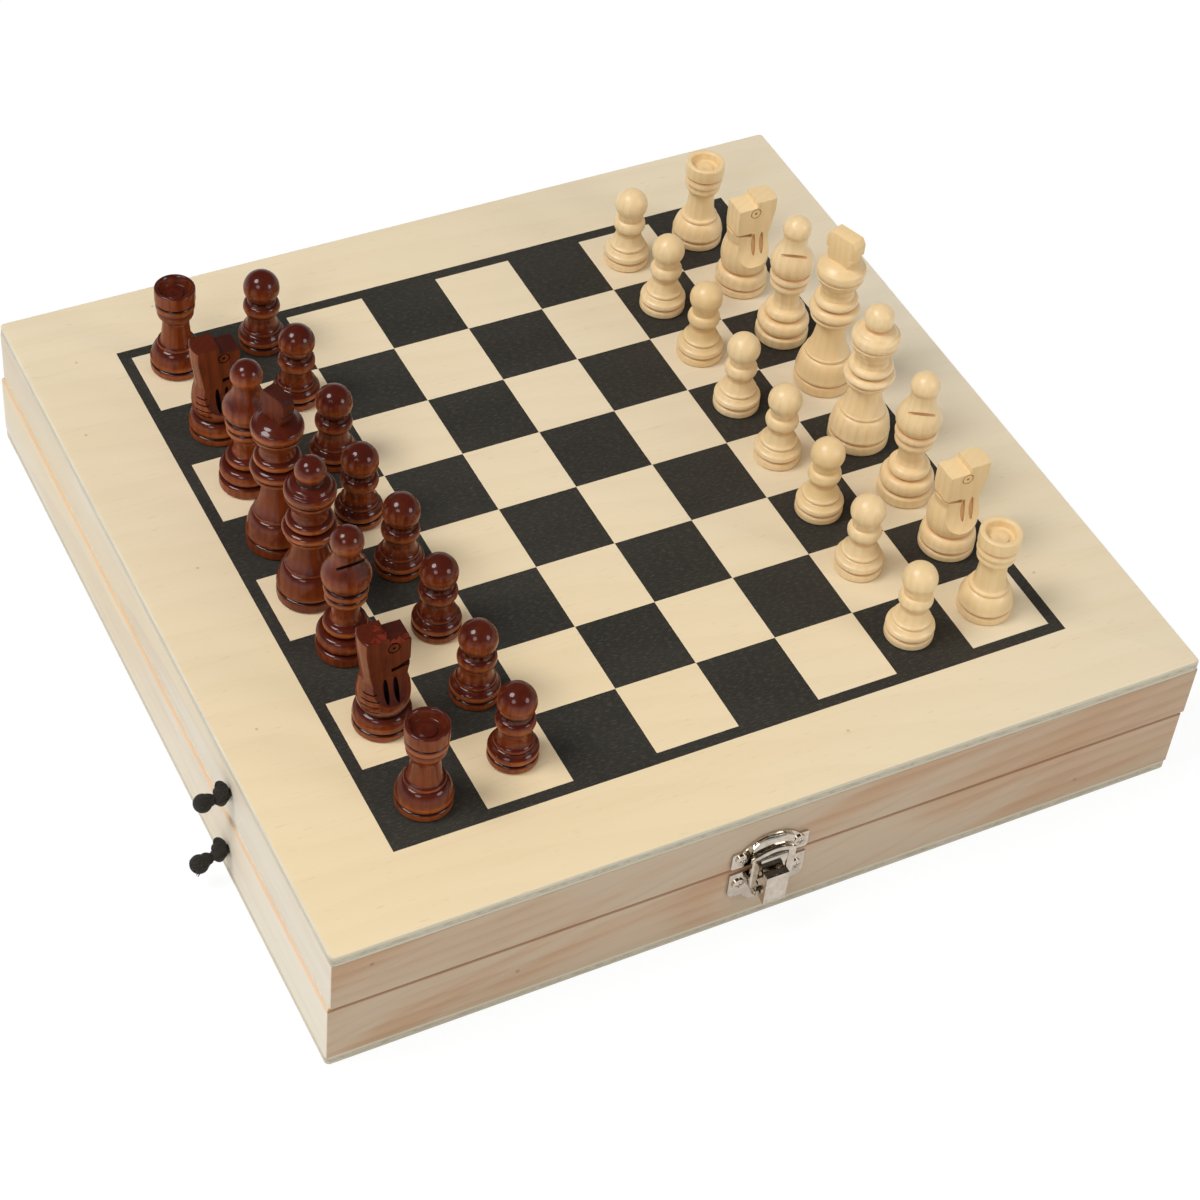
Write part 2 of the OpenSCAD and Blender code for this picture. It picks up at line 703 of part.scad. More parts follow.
module base_knot() color(black_cord) knot(-box_w / 2, base_hole_z, base_tail);

module lid_knot() color(black_cord) knot(lid_x - box_w / 2, lid_hole_z, lid_tail);

// ---- Chessmen -----------------------------------------------------------------------

module pawn(ball_r, collar_r) {
    r = pawn_d / 2;
    neck = pawn_h - 17;
    turned(concat(
        foot(r, foot_h, r - 1.6, 8.6),
        curve([r - 2.2, 8.9], [4.8, 10.2], [collar_r - 1.3, neck], 5),
        bead(collar_r, neck + 0.4, neck + 5.1, 1.4, 6),
        ball(ball_r, pawn_h, 4.4, 10)));
}

module rook() {
    r = rook_d / 2;
    head_r = 6.9;
    rim = 0.5;
    mouth_r = 6;
    cup_r = 4.5;
    cup_deep = 3;
    turned(concat(
        foot(r, foot_h, r - 2.7, 11.6),
        curve([r - 3.2, 12], [5, 14], [4.4, rook_h - 14], 5),
        curve([4.4, rook_h - 14], [4.7, rook_h - 12.6], [5.5, rook_h - 12], 3),
        curve([5.7, rook_h - 11.8], [6.6, rook_h - 10.8], [6, rook_h - 9.2], 4),
        bead(6.7, rook_h - 8.9, rook_h - 5.9, 0.7, 5),
        [[head_r - 0.6, rook_h - 5.6], [head_r, rook_h - 5.1]],
        arc([head_r - rim, rook_h - rim], rim, 0, 90, 3),
        [[mouth_r, rook_h], [mouth_r - 0.4, rook_h - 0.5], [cup_r + 0.2, rook_h - cup_deep],
         [cup_r - 0.4, rook_h - cup_deep - 0.2], [2.6, rook_h - cup_deep - 0.1],
         [2.3, rook_h - cup_deep + 0.4], [1.1, rook_h - cup_deep + 0.4],
         [0.8, rook_h - cup_deep], [0, rook_h - cup_deep]]));
}

// A horse's head sawn out of a turned blank; it faces +X
module knight() {
    r = knight_d / 2;
    cheek = knight_cheek / 2;
    run_out_r = 15.8;
    run_out_z = 21;
    brow = knight_h - 2.4;
    chin = knight_h - 13.4;
    face = 6.7;
    difference() {
        turned(concat(
            foot(r, foot_h, r - 1.3, 8.4),
            [[r - 2.1, 8.8]],
            curve([r - 2, 9.2], [r + 0.4, 14], [r - 2.2, 22], 8),
            curve([r - 2.2, 22.4], [r - 1.8, 26], [r - 0.6, chin + 8], 4),
            [[r - 0.5, knight_h - 0.5], [r - 1, knight_h], [0, knight_h]]));
        rotate([90, 0, 0]) linear_extrude(4 * r, center = true) {
            // The mouth's notch under the muzzle, and the flat face over it
            polygon([[2.3, chin - 0.4], [5.6, chin + 0.2], [face, chin + 1], [face, knight_h + 1],
                     [2 * r, knight_h + 1], [2 * r, chin - 1], [face - 0.6, chin - 1]]);
            // The step from the ears down to the brow
            polygon([[-0.3, knight_h + 1], [-0.3, brow + 0.5], [0.3, brow], [2 * r, brow - 0.3],
                     [2 * r, knight_h + 1]]);
        }
        for (s = [-1, 1]) {
            // Flat cheeks that run out over the turned chest
            rotate([90, 0, 90]) linear_extrude(4 * r, center = true) polygon(concat(
                [[s * 2 * r, knight_h + 1], [s * cheek, knight_h + 1]],
                [for (p = arc([cheek + run_out_r, run_out_z], run_out_r, 180, 221, 6))
                    [s * p[0], p[1]]],
                [[s * 2 * r, run_out_z - 10.5]]));
            // Eyes, the two grooves on the neck and the mane's three cuts
            translate([0.4, s * cheek, knight_h - 7]) rotate([-90 * s, 0, 0]) {
                difference() {
                    translate([0, 0, -0.35]) cylinder(r = 1.5, h = 1);
                    translate([0, 0, -0.5]) cylinder(r = 1.05, h = 2);
                }
                translate([0, 0, -0.35]) cylinder(r = 0.4, h = 1);
            }
            for (x = [-1.8, 1.6]) translate([x - 0.6, s * (cheek + 0.4) - 1, 12.5])
                cube([1.2, 2, 8.4]);
            for (z = [13.5, 16.5, 19.5]) translate([-r + 2, s * (cheek + 0.6), z])
                rotate([0, 18, 0]) cube([2.6, 4, 0.5], center = true);
        }
    }
}

module bishop(saw_turn) {
    r = bishop_d / 2;
    collar = bishop_h - 29.4;
    difference() {
        turned(concat(
            disc(r, tall_foot_h),
            bead(r - 0.2, tall_foot_h + 0.2, 9.8, 1.8, 7),
            bead(7.1, 10, 14, 1.8, 6),
            curve([4.8, 14.2], [4.2, 16], [4.5, 18.6], 3),
            curve([4.5, 18.6], [4.5, collar - 1.4], [5.5, collar - 0.2], 4),
            bead(6.7, collar, collar + 3, 0.9, 5),
            bead(7.1, collar + 3.3, collar + 6.4, 0.8, 5),
            curve([6.4, collar + 6.7], [9, collar + 10.4], [6.2, collar + 15], 8),
            curve([6.2, collar + 15], [4.7, collar + 17.4], [4.4, collar + 19.6], 3),
            ball(4.9, bishop_h, 4.3, 10)));
        // The saw cut that slants down into the mitre
        rotate([0, 0, saw_turn]) translate([0, -3.9, bishop_h - 14]) rotate([-saw_tilt, 0, 0])
            translate([-r, -2 * r, -0.45]) cube([2 * r, 2 * r, 0.9]);
    }
}

// The collar that king and queen share, from z up: a lip, a fat ring and a lesser ring
function royal_collar(z, ring, upper) = concat(
    bead(7.9, z, z + 1.3, 0.5, 3),
    bead(8.8, z + 1.5, z + ring, 2.2, 7),
    bead(7.6, z + ring + 0.3, z + ring + upper, 1.8, 6));

// A crown with a straight neck and a bulging rim, from z up to its edge at z + rise
function crown(z, rise, rim_r) = concat(
    curve([5.9, z], [5.4, z + 2.6], [5.9, z + rise - 8.5], 4),
    curve([6, z + rise - 8], [7, z + rise - 7.4], [rim_r - 0.3, z + rise - 4.2], 4),
    bead(rim_r, z + rise - 4, z + rise, 0.9, 6));

module queen() {
    r = queen_d / 2;
    collar = queen_h - 31.8;
    rim = queen_h - 10.9;
    turned(concat(
        foot(r, tall_foot_h, r - 2.5, 14.6),
        curve([r - 3, 15], [5.8, 18], [5, collar - 0.3], 6),
        royal_collar(collar, 4.8, 3.6),
        crown(collar + 8.7, rim - collar - 8.7, 8.3),
        [[6.9, rim + 0.2], [6.3, rim + 1.1], [5.4, rim + 1.7]],
        ball(4.8, queen_h, 4.6, 10)));
}

module king(finial_turn) {
    r = king_d / 2;
    collar = king_h - 33.3;
    rim = king_h - 9.5;
    turned(concat(
        foot(r, tall_foot_h, r - 2.4, 14.6),
        curve([r - 2.9, 15], [5.2, 19], [4.7, collar - 0.3], 6),
        royal_collar(collar, 5.9, 3.8),
        crown(collar + 10, rim - collar - 10, 8.5),
        [[7.2, rim + 0.3]],
        curve([6.8, rim + 0.5], [5.4, rim + 2.2], [0, rim + 2.6], 5)));
    // The flat finial, wide across and sawn in at its waist
    translate([0, 0, rim]) rotate([90, 0, finial_turn]) linear_extrude(4.2, center = true)
        polygon([[-3.4, 0.8], [3.4, 0.8], [4.5, 4.4], [3.8, 4.8], [4.9, 5.3], [4.9, 7.7],
                 [3.7, 9.5], [-3.7, 9.5], [-4.9, 7.7], [-4.9, 5.3], [-3.8, 4.8], [-4.5, 4.4]]);
}

// Stands a man on its square: column from the left, row from the back
module on_square(column, row, at)
    translate([grid_x + (column + 0.5) * square + at[0],
               -grid_y - (row + 0.5) * square + at[1], lid_top]) children();

// A man of the back row by its column, with the way its finial and its saw cuts face
module man(k, finial_turn, saw_turns) {
    if (k == 0 || k == 7) rook();
    if (k == 1 || k == 6) knight();
    if (k == 2 || k == 5) bishop(saw_turns[k == 2 ? 0 : 1]);
    if (k == 3) king(finial_turn);
    if (k == 4) queen();
}

module dark_pawn(i) color(dark_wood) on_square(1, i, dark_pawns_at[i]) pawn(6.2, 6.3);

module light_pawn(i) color(light_wood) on_square(6, i, light_pawns_at[i]) pawn(5.7, 5.6);

module dark_man(i) color(dark_wood) on_square(0, i, dark_rank_at[i])
    man(i, dark_finial_turn, dark_saw_turns);

module light_man(i) color(light_wood) on_square(7, i, light_rank_at[i]) mirror([1, 0, 0])
    man(i, light_finial_turn, light_saw_turns);

// ---- Nodes --------------------------------------------------------------------------

base_panel();
base_front_rail();
base_back_rail();
base_left_rail();
base_right_rail();
lid_panel();
lid_front_rail();
lid_back_rail();
lid_left_rail();
lid_right_rail();
board_print();
dividers();
dark_draughts();
light_draughts();
hinge_base_leaves();
hinge_lid_leaves();
hinge_pins();
hinge_base_screws();
hinge_lid_screws();
latch_plate();
latch_lever();
latch_pin();
latch_screws();
catch_plate();
catch_screws();
stay_cord();
base_knot();
lid_knot();
for (i = [0:7]) {
    dark_pawn(i);
    light_pawn(i);
    dark_man(i);
    light_man(i);
}
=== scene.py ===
"""Games compendium box: the looks of its wood, print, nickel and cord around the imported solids.

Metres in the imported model's frame: +X right along the front, +Y back to the hinges, +Z up.
Sizes written here are in millimetres and pass through mm().
"""

import math

import bmesh
import bpy
from mathutils import Matrix, Vector


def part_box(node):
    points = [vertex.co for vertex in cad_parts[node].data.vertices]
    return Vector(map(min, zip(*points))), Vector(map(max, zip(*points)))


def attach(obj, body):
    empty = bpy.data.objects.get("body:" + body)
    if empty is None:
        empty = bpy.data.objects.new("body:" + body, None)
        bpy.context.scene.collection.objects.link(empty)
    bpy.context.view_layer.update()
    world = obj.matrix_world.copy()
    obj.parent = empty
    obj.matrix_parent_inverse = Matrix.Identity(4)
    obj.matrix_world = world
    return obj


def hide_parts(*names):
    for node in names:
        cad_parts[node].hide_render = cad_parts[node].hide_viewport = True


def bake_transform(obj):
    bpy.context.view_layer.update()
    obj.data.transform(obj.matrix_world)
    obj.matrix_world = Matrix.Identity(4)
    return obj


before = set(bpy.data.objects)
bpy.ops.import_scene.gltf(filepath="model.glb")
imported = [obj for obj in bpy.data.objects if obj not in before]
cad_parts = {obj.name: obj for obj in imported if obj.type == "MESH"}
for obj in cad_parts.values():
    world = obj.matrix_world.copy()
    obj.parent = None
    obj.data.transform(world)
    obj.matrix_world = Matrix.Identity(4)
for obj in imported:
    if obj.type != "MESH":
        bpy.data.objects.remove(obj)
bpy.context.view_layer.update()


def mm(*sizes):
    """Millimetres as metres: one number, or a vector of several."""
    return sizes[0] * 0.001 if len(sizes) == 1 else Vector(sizes) * 0.001


def srgb(red, green, blue):
    """A colour as it is read off a screen, 0 to 255, for a node's linear socket."""
    def linear(level):
        level /= 255
        return level / 12.92 if level <= 0.04045 else ((level + 0.055) / 1.055) ** 2.4
    return (linear(red), linear(green), linear(blue), 1)


# ---- Camera -------------------------------------------------------------------------

def place_camera():
    """The camera of the photograph, found from the corners of the board and the box."""
    azimuth, elevation, roll = (math.radians(a) for a in (-30.02, 45.53, 5.63))
    distance, aim = mm(971.83), mm(-9.01, -12.01, 30)
    data = bpy.data.cameras.new("camera")
    data.sensor_width, data.lens = 36, 87.75
    data.shift_x, data.shift_y = 0.0318, -0.0298
    data.clip_start, data.clip_end = 0.01, 20
    camera = bpy.data.objects.new("camera", data)
    bpy.context.scene.collection.objects.link(camera)
    back = Vector((math.sin(azimuth) * math.cos(elevation),
                   -math.cos(azimuth) * math.cos(elevation), math.sin(elevation)))
    right = Vector((0, 0, 1)).cross(back).normalized()
    upward = back.cross(right)
    turned_right = right * math.cos(roll) + upward * math.sin(roll)
    turned_up = upward * math.cos(roll) - right * math.sin(roll)
    turn = Matrix((turned_right, turned_up, back)).transposed().to_4x4()
    camera.matrix_world = Matrix.Translation(aim + back * distance) @ turn
    bpy.context.scene.camera = camera


place_camera()


# ---- Shader maths -------------------------------------------------------------------

class Value:
    """A socket of a finish; Python's operators on it add Math nodes."""

    def __init__(self, finish, socket):
        self.finish, self.socket = finish, socket

    def math(self, operation, *others):
        return self.finish.node("ShaderNodeMath", {"operation": operation}, [self, *others])

    def __add__(self, other):
        return self.math("ADD", other)

    __radd__ = __add__

    def __sub__(self, other):
        return self.math("SUBTRACT", other)

    def __rsub__(self, other):
        return self * -1 + other

    def __mul__(self, other):
        return self.math("MULTIPLY", other)

    __rmul__ = __mul__

    def __abs__(self):
        return self.math("ABSOLUTE")

    def band(self, low, high):
        """0 below low, 1 above high, and smooth between; low may be the larger."""
        return self.finish.node("ShaderNodeMapRange", {"interpolation_type": "SMOOTHSTEP"},
                                {0: self, 1: low, 2: high})


class Finish:
    """A material, or the world, under construction."""

    def __init__(self, name, library=None):
        library = bpy.data.materials if library is None else library
        self.owner = library.new(name)
        self.owner.use_nodes = True
        self.tree = self.owner.node_tree
        self.tree.nodes.clear()

    def node(self, kind, settings=(), inputs=(), output=0):
        """Adds a node: settings first, then a value or link for each input socket."""
        made = self.tree.nodes.new(kind)
        for name, setting in dict(settings).items():
            setattr(made, name, setting)
        for key, value in inputs.items() if isinstance(inputs, dict) else enumerate(inputs):
            if isinstance(value, Value):
                self.tree.links.new(value.socket, made.inputs[key])
            else:
                made.inputs[key].default_value = value
        return Value(self, made.outputs[output]) if made.outputs else None

    def place(self, stretch=(1, 1, 1), move=(0, 0, 0), turn=(0, 0, 0)):
        """The point on the object, moved, turned and then stretched for a pattern."""
        point = self.node("ShaderNodeTexCoord", output="Object")
        moved = self.node("ShaderNodeMapping", {"vector_type": "POINT"},
                          {"Vector": point, "Location": move, "Rotation": turn})
        return self.node("ShaderNodeMapping", {"vector_type": "POINT"},
                         {"Vector": moved, "Scale": stretch})

    def split(self, vector):
        """The three numbers of a vector."""
        self.node("ShaderNodeSeparateXYZ", inputs=[vector])
        outputs = self.tree.nodes[-1].outputs
        return [Value(self, outputs[axis]) for axis in range(3)]

    def noise(self, stretch, detail, roughness, bend=0, turn=(0, 0, 0)):
        """Noise on the object; stretch is about how many grains it has in a metre."""
        return self.node("ShaderNodeTexNoise", {}, {
            "Vector": self.place(stretch, turn=turn), "Scale": 1, "Detail": detail,
            "Roughness": roughness, "Distortion": bend})

    def mix(self, share, first, second):
        """first where share is 0, second where it is 1."""
        return self.node("ShaderNodeMix", {"data_type": "RGBA"},
                         {0: share, 6: first, 7: second}, output=2)

    def bump(self, height, depth, strength):
        return self.node("ShaderNodeBump", {},
                         {"Strength": strength, "Distance": depth, "Height": height})

    def attribute(self, name):
        return self.node("ShaderNodeAttribute", {"attribute_name": name}, output="Fac")

    def surface(self, **inputs):
        """Ends the finish with a Principled BSDF of these inputs."""
        named = {name.replace("_", " ").replace("Ior", "IOR"): value
                 for name, value in inputs.items()}
        shader = self.node("ShaderNodeBsdfPrincipled", {}, named)
        self.node("ShaderNodeOutputMaterial", {}, {"Surface": shader})
        return self.owner


# ---- Finishes -----------------------------------------------------------------------

def growth(finish, heart, tilt, gap, wander, turn=(0, 0, 0), stretch=(7, 30, 30)):
    """Growth rings about a tilted heart: 0 in the early wood, rising to 1 in the late."""
    wave = finish.noise(stretch, 2, 0.5, turn=turn)
    _, side, height = finish.split(finish.place((1, 1, 1), heart, tilt))
    reach = (side * side + height * height).math("SQRT") + (wave - 0.5) * mm(wander)
    ring = (reach * (1 / mm(gap))).math("FRACT")
    return ring.band(0.25, 0.9) * ring.band(1.0, 0.93)


def specks(finish, spots, size):
    """1 in a few small dark spots of the wood, 0 elsewhere."""
    total = 0
    for spot in spots:
        away = finish.node("ShaderNodeVectorMath", {"operation": "DISTANCE"},
                           [finish.place(), spot], output="Value")
        total = away.band(mm(size), mm(size * 0.3)) + total
    return total


def veneer():
    """The pale poplar face of the plywood, its grain along X, sealed and nearly plain."""
    finish = Finish("veneer")
    fibres = finish.noise((9, 700, 700), 4, 0.6)
    streaks = finish.noise((3, 60, 60), 3, 0.5)
    clouds = finish.noise((4, 7, 7), 2, 0.5)
    pores = finish.noise((160, 1500, 1500), 1, 0.5)
    x, y, _ = finish.split(finish.place())
    rings = growth(finish, mm(60, 230, 30), (0.03, -0.1, 0.12), 11, 30, stretch=(9, 14, 14))
    colour = finish.mix(y.band(-0.12, 0.14), srgb(235, 213, 173), srgb(236, 219, 188))
    colour = finish.mix(x.band(-0.05, 0.15) * 0.5, colour, srgb(225, 219, 203))
    colour = finish.mix(clouds.band(0.35, 0.7) * 0.35, colour, srgb(236, 214, 172))
    colour = finish.mix(streaks.band(0.45, 0.75) * 0.1, colour, srgb(222, 194, 148))
    colour = finish.mix(rings * 0.06 + fibres.band(0.5, 0.8) * 0.12, colour, srgb(208, 178, 132))
    colour = finish.mix(pores.band(0.7, 0.78) * 0.2, colour, srgb(176, 148, 108))
    spots = [mm(*spot, 51.5) for spot in ((-131, 118), (-140, 83), (-128, 12), (-136, -58),
                                          (31, -128), (122, -92), (-97, 136), (128, 71))]
    colour = finish.mix(specks(finish, spots, 0.7) * 0.45, colour, srgb(150, 116, 82))
    return finish.surface(Base_Color=colour, Roughness=0.5,
                          Normal=finish.bump(fibres, mm(0.05), 0.35))


def ply_edge():
    """The edge of the plywood: three plies, the middle one cut across its grain."""
    finish = Finish("ply_edge")
    across = finish.noise((60, 60, 2600), 3, 0.6)
    pits = finish.noise((420, 420, 900), 3, 0.6)
    long_spots = finish.noise((28, 28, 300), 2, 0.5)
    _, y, _ = finish.split(finish.place())
    ply, front = finish.attribute("ply"), y.band(mm(-143), mm(-145.6))
    middle = ply.band(0.3, 0.4) * ply.band(0.76, 0.66)
    glue = abs(ply - 0.36).band(0.05, 0.0) + abs(ply - 0.7).band(0.05, 0.0)
    colour = finish.mix(across.band(0.35, 0.7), srgb(222, 214, 194), srgb(208, 199, 178))
    colour = finish.mix(front * 0.55, colour, srgb(186, 178, 152))
    dull = finish.mix(pits.band(0.35, 0.7), srgb(196, 188, 168), srgb(168, 158, 138))
    colour = finish.mix(middle * (front * 0.45 + 0.4), colour, dull)
    colour = finish.mix(glue * (long_spots.band(0.35, 0.65) * 0.4 + 0.1), colour,
                        srgb(140, 122, 98))
    return finish.surface(Base_Color=colour, Roughness=0.7,
                          Normal=finish.bump(pits, mm(0.15), 0.35))


def pine(name, pale, warm, deep, seam, along, heart, tilt, figure, knots):
    """Planed pine: soft pale and warm patches, and a slanting figure of growth rings.

    along is the axis of the board, heart where the tree's middle lay, tilt how the board
    was sawn off it, and figure how strongly its rings show. seam is the colour of a painted
    highlight in a band along the edge that was sanded round, just below where the lid meets
    the base, standing for the light that this rounded edge catches.
    """
    finish = Finish(name)
    turn = (0, 0, 0) if along == "X" else (0, 0, math.radians(-90))
    slant = (turn[0], math.radians(16), turn[2])
    patches = finish.noise((9, 34, 34), 2, 0.5, 0.6, slant)
    brush = finish.noise((16, 260, 260), 3, 0.55, turn=slant)
    fibres = finish.noise((14, 1100, 1100), 3, 0.6, turn=turn)
    tilted = tuple(a + b for a, b in zip(turn, tilt))
    rings = growth(finish, heart, tilted, 5.5, 9, turn)
    colour = finish.mix(patches.band(0.4, 0.66), pale, warm)
    colour = finish.mix(rings * patches.band(0.36, 0.6) * figure, colour, deep)
    colour = finish.mix(brush.band(0.48, 0.8) * 0.35, colour, deep)
    colour = finish.mix(fibres.band(0.55, 0.85) * 0.2, colour, deep)
    colour = finish.mix(specks(finish, knots, 1.1) * 0.5, colour, srgb(116, 82, 60))
    # Painted highlight: a band of the seam colour along the rounded top edge of the base, just below
    # the seam
    ridge = SEAM_Z - finish.split(finish.place())[2]
    colour = finish.mix(ridge.band(0, mm(0.1)) * ridge.band(mm(1.0), mm(0.6)) * 0.7, colour,
                        seam)
    return finish.surface(Base_Color=colour, Roughness=0.6,
                          Normal=finish.bump(fibres, mm(0.05), 0.5))


def ink():
    """Matt black ink on the veneer; the grain shows through as fine paler dashes."""
    finish = Finish("ink")
    dashes = finish.noise((480, 1900, 1900), 3, 0.65)
    dots = finish.noise((1100, 1100, 1100), 2, 0.6)
    patches = finish.noise((14, 40, 40), 2, 0.5)
    colour = finish.mix(patches.band(0.3, 0.7), srgb(43, 40, 34), srgb(50, 47, 40))
    colour = finish.mix(dashes.band(0.48, 0.7) * 0.42, colour, srgb(90, 85, 75))
    colour = finish.mix(dots.band(0.55, 0.75) * 0.35, colour, srgb(26, 24, 20))
    return finish.surface(Base_Color=colour, Roughness=0.6, Specular_Ior_Level=0.35,
                          Normal=finish.bump(dashes, mm(0.05), 0.4))


def turned_wood(name, side, crest, end, groove, line, groove_share, end_share, sawn=0,
                **lacquer):
    """Lacquered turned wood, its grain along Z; end grain and grooves take more stain, and grooves and
    narrow cuts are painted darker still as shade.
    """
    finish = Finish(name)
    rings = growth(finish, mm(0, 420, 310), (0.05, 1.62, 0), 2.6, 3, stretch=(60, 60, 14))
    fibres = finish.noise((1300, 1300, 60), 3, 0.6)
    blotch = finish.noise((150, 150, 90), 3, 0.6, 0.4)
    _, _, level = finish.split(finish.node("ShaderNodeTexCoord", output="Normal"))
    tone, groove_stain_and_shade = finish.attribute("tone"), finish.attribute("groove")
    proud = finish.attribute("crest")
    end_grain = level.band(0.05, 0.7) + level.band(-0.5, -0.95) * 0.4
    colour = finish.mix(rings * 0.45, side, line)
    colour = finish.mix(fibres.band(0.45, 0.75) * 0.5, colour, line)
    colour = finish.mix(tone * 0.6, colour, line)
    colour = finish.mix(end_grain * end_share + blotch.band(0.45, 0.7) * 0.4, colour, end)
    colour = finish.mix(proud * (blotch.band(0.65, 0.3) * 0.5 + 0.4), colour, crest)
    # Grooves take the groove colour by their depth, and sawn faces and narrow cuts by the share sawn:
    # the stain gathered there, and in the grooves and narrow cuts their shade painted in as well
    colour = finish.mix(groove_stain_and_shade * groove_share + sawn, colour, groove)
    return finish.surface(Base_Color=colour, Normal=finish.bump(fibres, mm(0.04), 0.3),
                          **lacquer)


def nickel():
    """Pressed sheet steel with a bright nickel plate, faintly uneven."""
    finish = Finish("nickel")
    cloudy = finish.noise((500, 500, 500), 3, 0.6)
    ripples = finish.noise((140, 140, 140), 2, 0.5)
    colour = finish.mix(cloudy.band(0.3, 0.75), srgb(214, 205, 192), srgb(192, 180, 164))
    return finish.surface(Base_Color=colour, Metallic=1.0,
                          Roughness=cloudy * 0.12 + 0.05,
                          Normal=finish.bump(ripples, mm(0.1), 0.2))


def black_cord():
    """Soft black twisted cord."""
    finish = Finish("black_cord")
    fluff = finish.noise((1800, 1800, 1800), 3, 0.7)
    colour = finish.mix(fluff.band(0.35, 0.75), srgb(18, 15, 11), srgb(50, 42, 32))
    return finish.surface(Base_Color=colour, Roughness=0.85, Sheen_Weight=0.05,
                          Normal=finish.bump(fluff, mm(0.25), 0.8))


SEAM_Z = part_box("base_front_rail")[1].z
VENEER = veneer()
PLY_EDGE = ply_edge()
INK = ink()
NICKEL = nickel()
CORD = black_cord()
# The front and back rails' pine is pinker than the sides', and its colours are also made darker as
# painted shade, the shade that falls on the front of the box. In both pines the fourth colour is the
# seam's painted highlight.
FRONT_PINE_SHADED = pine("front_pine", srgb(193, 172, 146), srgb(188, 154, 120), srgb(168, 127, 92),
                  srgb(140, 88, 48), "X", mm(-30, 160, 30), (0.02, 0.035, 0.03), 0.35,
                  [mm(-88, -146, 14), mm(-136, -146, 43), mm(112, -146, 11)])
SIDE_PINE = pine("side_pine", srgb(228, 218, 200), srgb(227, 212, 184), srgb(206, 188, 168),
                 srgb(234, 180, 122), "Y", mm(10, 170, 24), (0.015, 0.02, 0.02), 0.3, [])
# groove is the colour of stain in the grooves and narrow cuts with their shade painted in: nearly
# black on the dark men, orange on the light
DARK = {"side": srgb(142, 66, 26), "crest": srgb(184, 104, 48), "end": srgb(72, 20, 7),
        "groove": srgb(20, 5, 2), "line": srgb(92, 34, 13), "groove_share": 0.95,
        "end_share": 0.9}
FRESH_DARK = {**DARK, "side": srgb(150, 58, 32), "end": srgb(118, 40, 22)}
LIGHT = {"side": srgb(242, 217, 172), "crest": srgb(248, 226, 186),
         "end": srgb(237, 203, 150), "groove": srgb(196, 132, 68),
         "line": srgb(228, 196, 140), "groove_share": 0.7, "end_share": 0.5}
GLOSS = {"Roughness": 0.45, "Coat_Weight": 0.6, "Coat_Roughness": 0.1,
         "Specular_Ior_Level": 0.05}
SATIN = {"Roughness": 0.4, "Coat_Weight": 0.25, "Coat_Roughness": 0.25}
MATT = {"Roughness": 0.6, "Coat_Weight": 0.05, "Coat_Roughness": 0.4,
        "Specular_Ior_Level": 0.15}
WOODS = {
    "dark": [turned_wood("dark_wood", **DARK, **GLOSS),
             turned_wood("dark_sawn", **DARK, **MATT, sawn=0.35),
             turned_wood("dark_cut", **DARK, **MATT, sawn=0.9),
             turned_wood("dark_fresh", **FRESH_DARK, **MATT)],
    "light": [turned_wood("light_wood", **LIGHT, **SATIN),
              turned_wood("light_sawn", **LIGHT, **MATT),
              turned_wood("light_cut", **LIGHT, **MATT, sawn=0.4)]}
# Material slots of the men: sawn faces, narrow cuts whose walls take the groove colour as stain and
# painted shade, and fresh broken wood
SAWN, CUT, FRESH = 1, 2, 3


# ---- Shapes -------------------------------------------------------------------------

def as_object(shape, name):
    """An object in the scene with this shape."""
    mesh = bpy.data.meshes.new(name)
    shape.to_mesh(mesh)
    shape.free()
    made = bpy.data.objects.new(name, mesh)
    bpy.context.scene.collection.objects.link(made)
    return made


def finished(shape, name, body, slot, materials, node, smooth=35):
    """Turns a shape into a piece that rides on its body and stands for the CAD node."""
    piece = as_object(shape, name)
    for material in materials:
        piece.data.materials.append(material)
    piece.data.shade_smooth()
    piece.data.set_sharp_from_angle(angle=math.radians(smooth))
    if body:
        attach(piece, body)
    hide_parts(node)
    return piece


def block(low, high):
    """A box between two corners."""
    shape = bmesh.new()
    bmesh.ops.create_cube(shape, size=1)
    bmesh.ops.scale(shape, vec=high - low, verts=shape.verts)
    bmesh.ops.translate(shape, vec=(low + high) / 2, verts=shape.verts)
    return shape


def rounded(shape, edges, radius, segments):
    """Rounds some edges of a shape."""
    bmesh.ops.bevel(shape, geom=edges, offset=mm(radius), offset_type="OFFSET",
                    segments=segments, profile=0.5, affect="EDGES", material=-1)


def cut(shape, point, outward):
    """Takes off what lies beyond a plane, and closes the shape there."""
    bmesh.ops.bisect_plane(shape, geom=[*shape.verts, *shape.edges, *shape.faces],
                           plane_co=point, plane_no=outward, clear_outer=True)
    bmesh.ops.holes_fill(shape, edges=[e for e in shape.edges if e.is_boundary])


def edges_where(shape, test):
    """The edges whose two ends both pass the test."""
    return [e for e in shape.edges if test(e.verts[0].co) and test(e.verts[1].co)]


def near(first, second):
    return abs(first - second) < 1e-6


def dressed(node, body, slot, material, edge):
    """A piece in the shape of a CAD node, its edges softened by a radius."""
    shape = bmesh.new()
    shape.from_mesh(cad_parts[node].data)
    bmesh.ops.remove_doubles(shape, verts=shape.verts, dist=2e-6)
    bmesh.ops.dissolve_limit(shape, angle_limit=math.radians(1), verts=shape.verts,
                             edges=shape.edges)
    piece = finished(shape, node + "_dressed", body, slot, [material], node)
    soften = piece.modifiers.new("softened edges", "BEVEL")
    soften.width, soften.segments = mm(edge), 2
    soften.limit_method, soften.angle_limit = "ANGLE", math.radians(32)
    soften.use_clamp_overlap = True
    soften.harden_normals = True
    return piece


# ---- Box ----------------------------------------------------------------------------

# The second material of a panel, and how far the ink stands above the veneer
PLY_SIDE = 1
INK_PROUD = 0.03


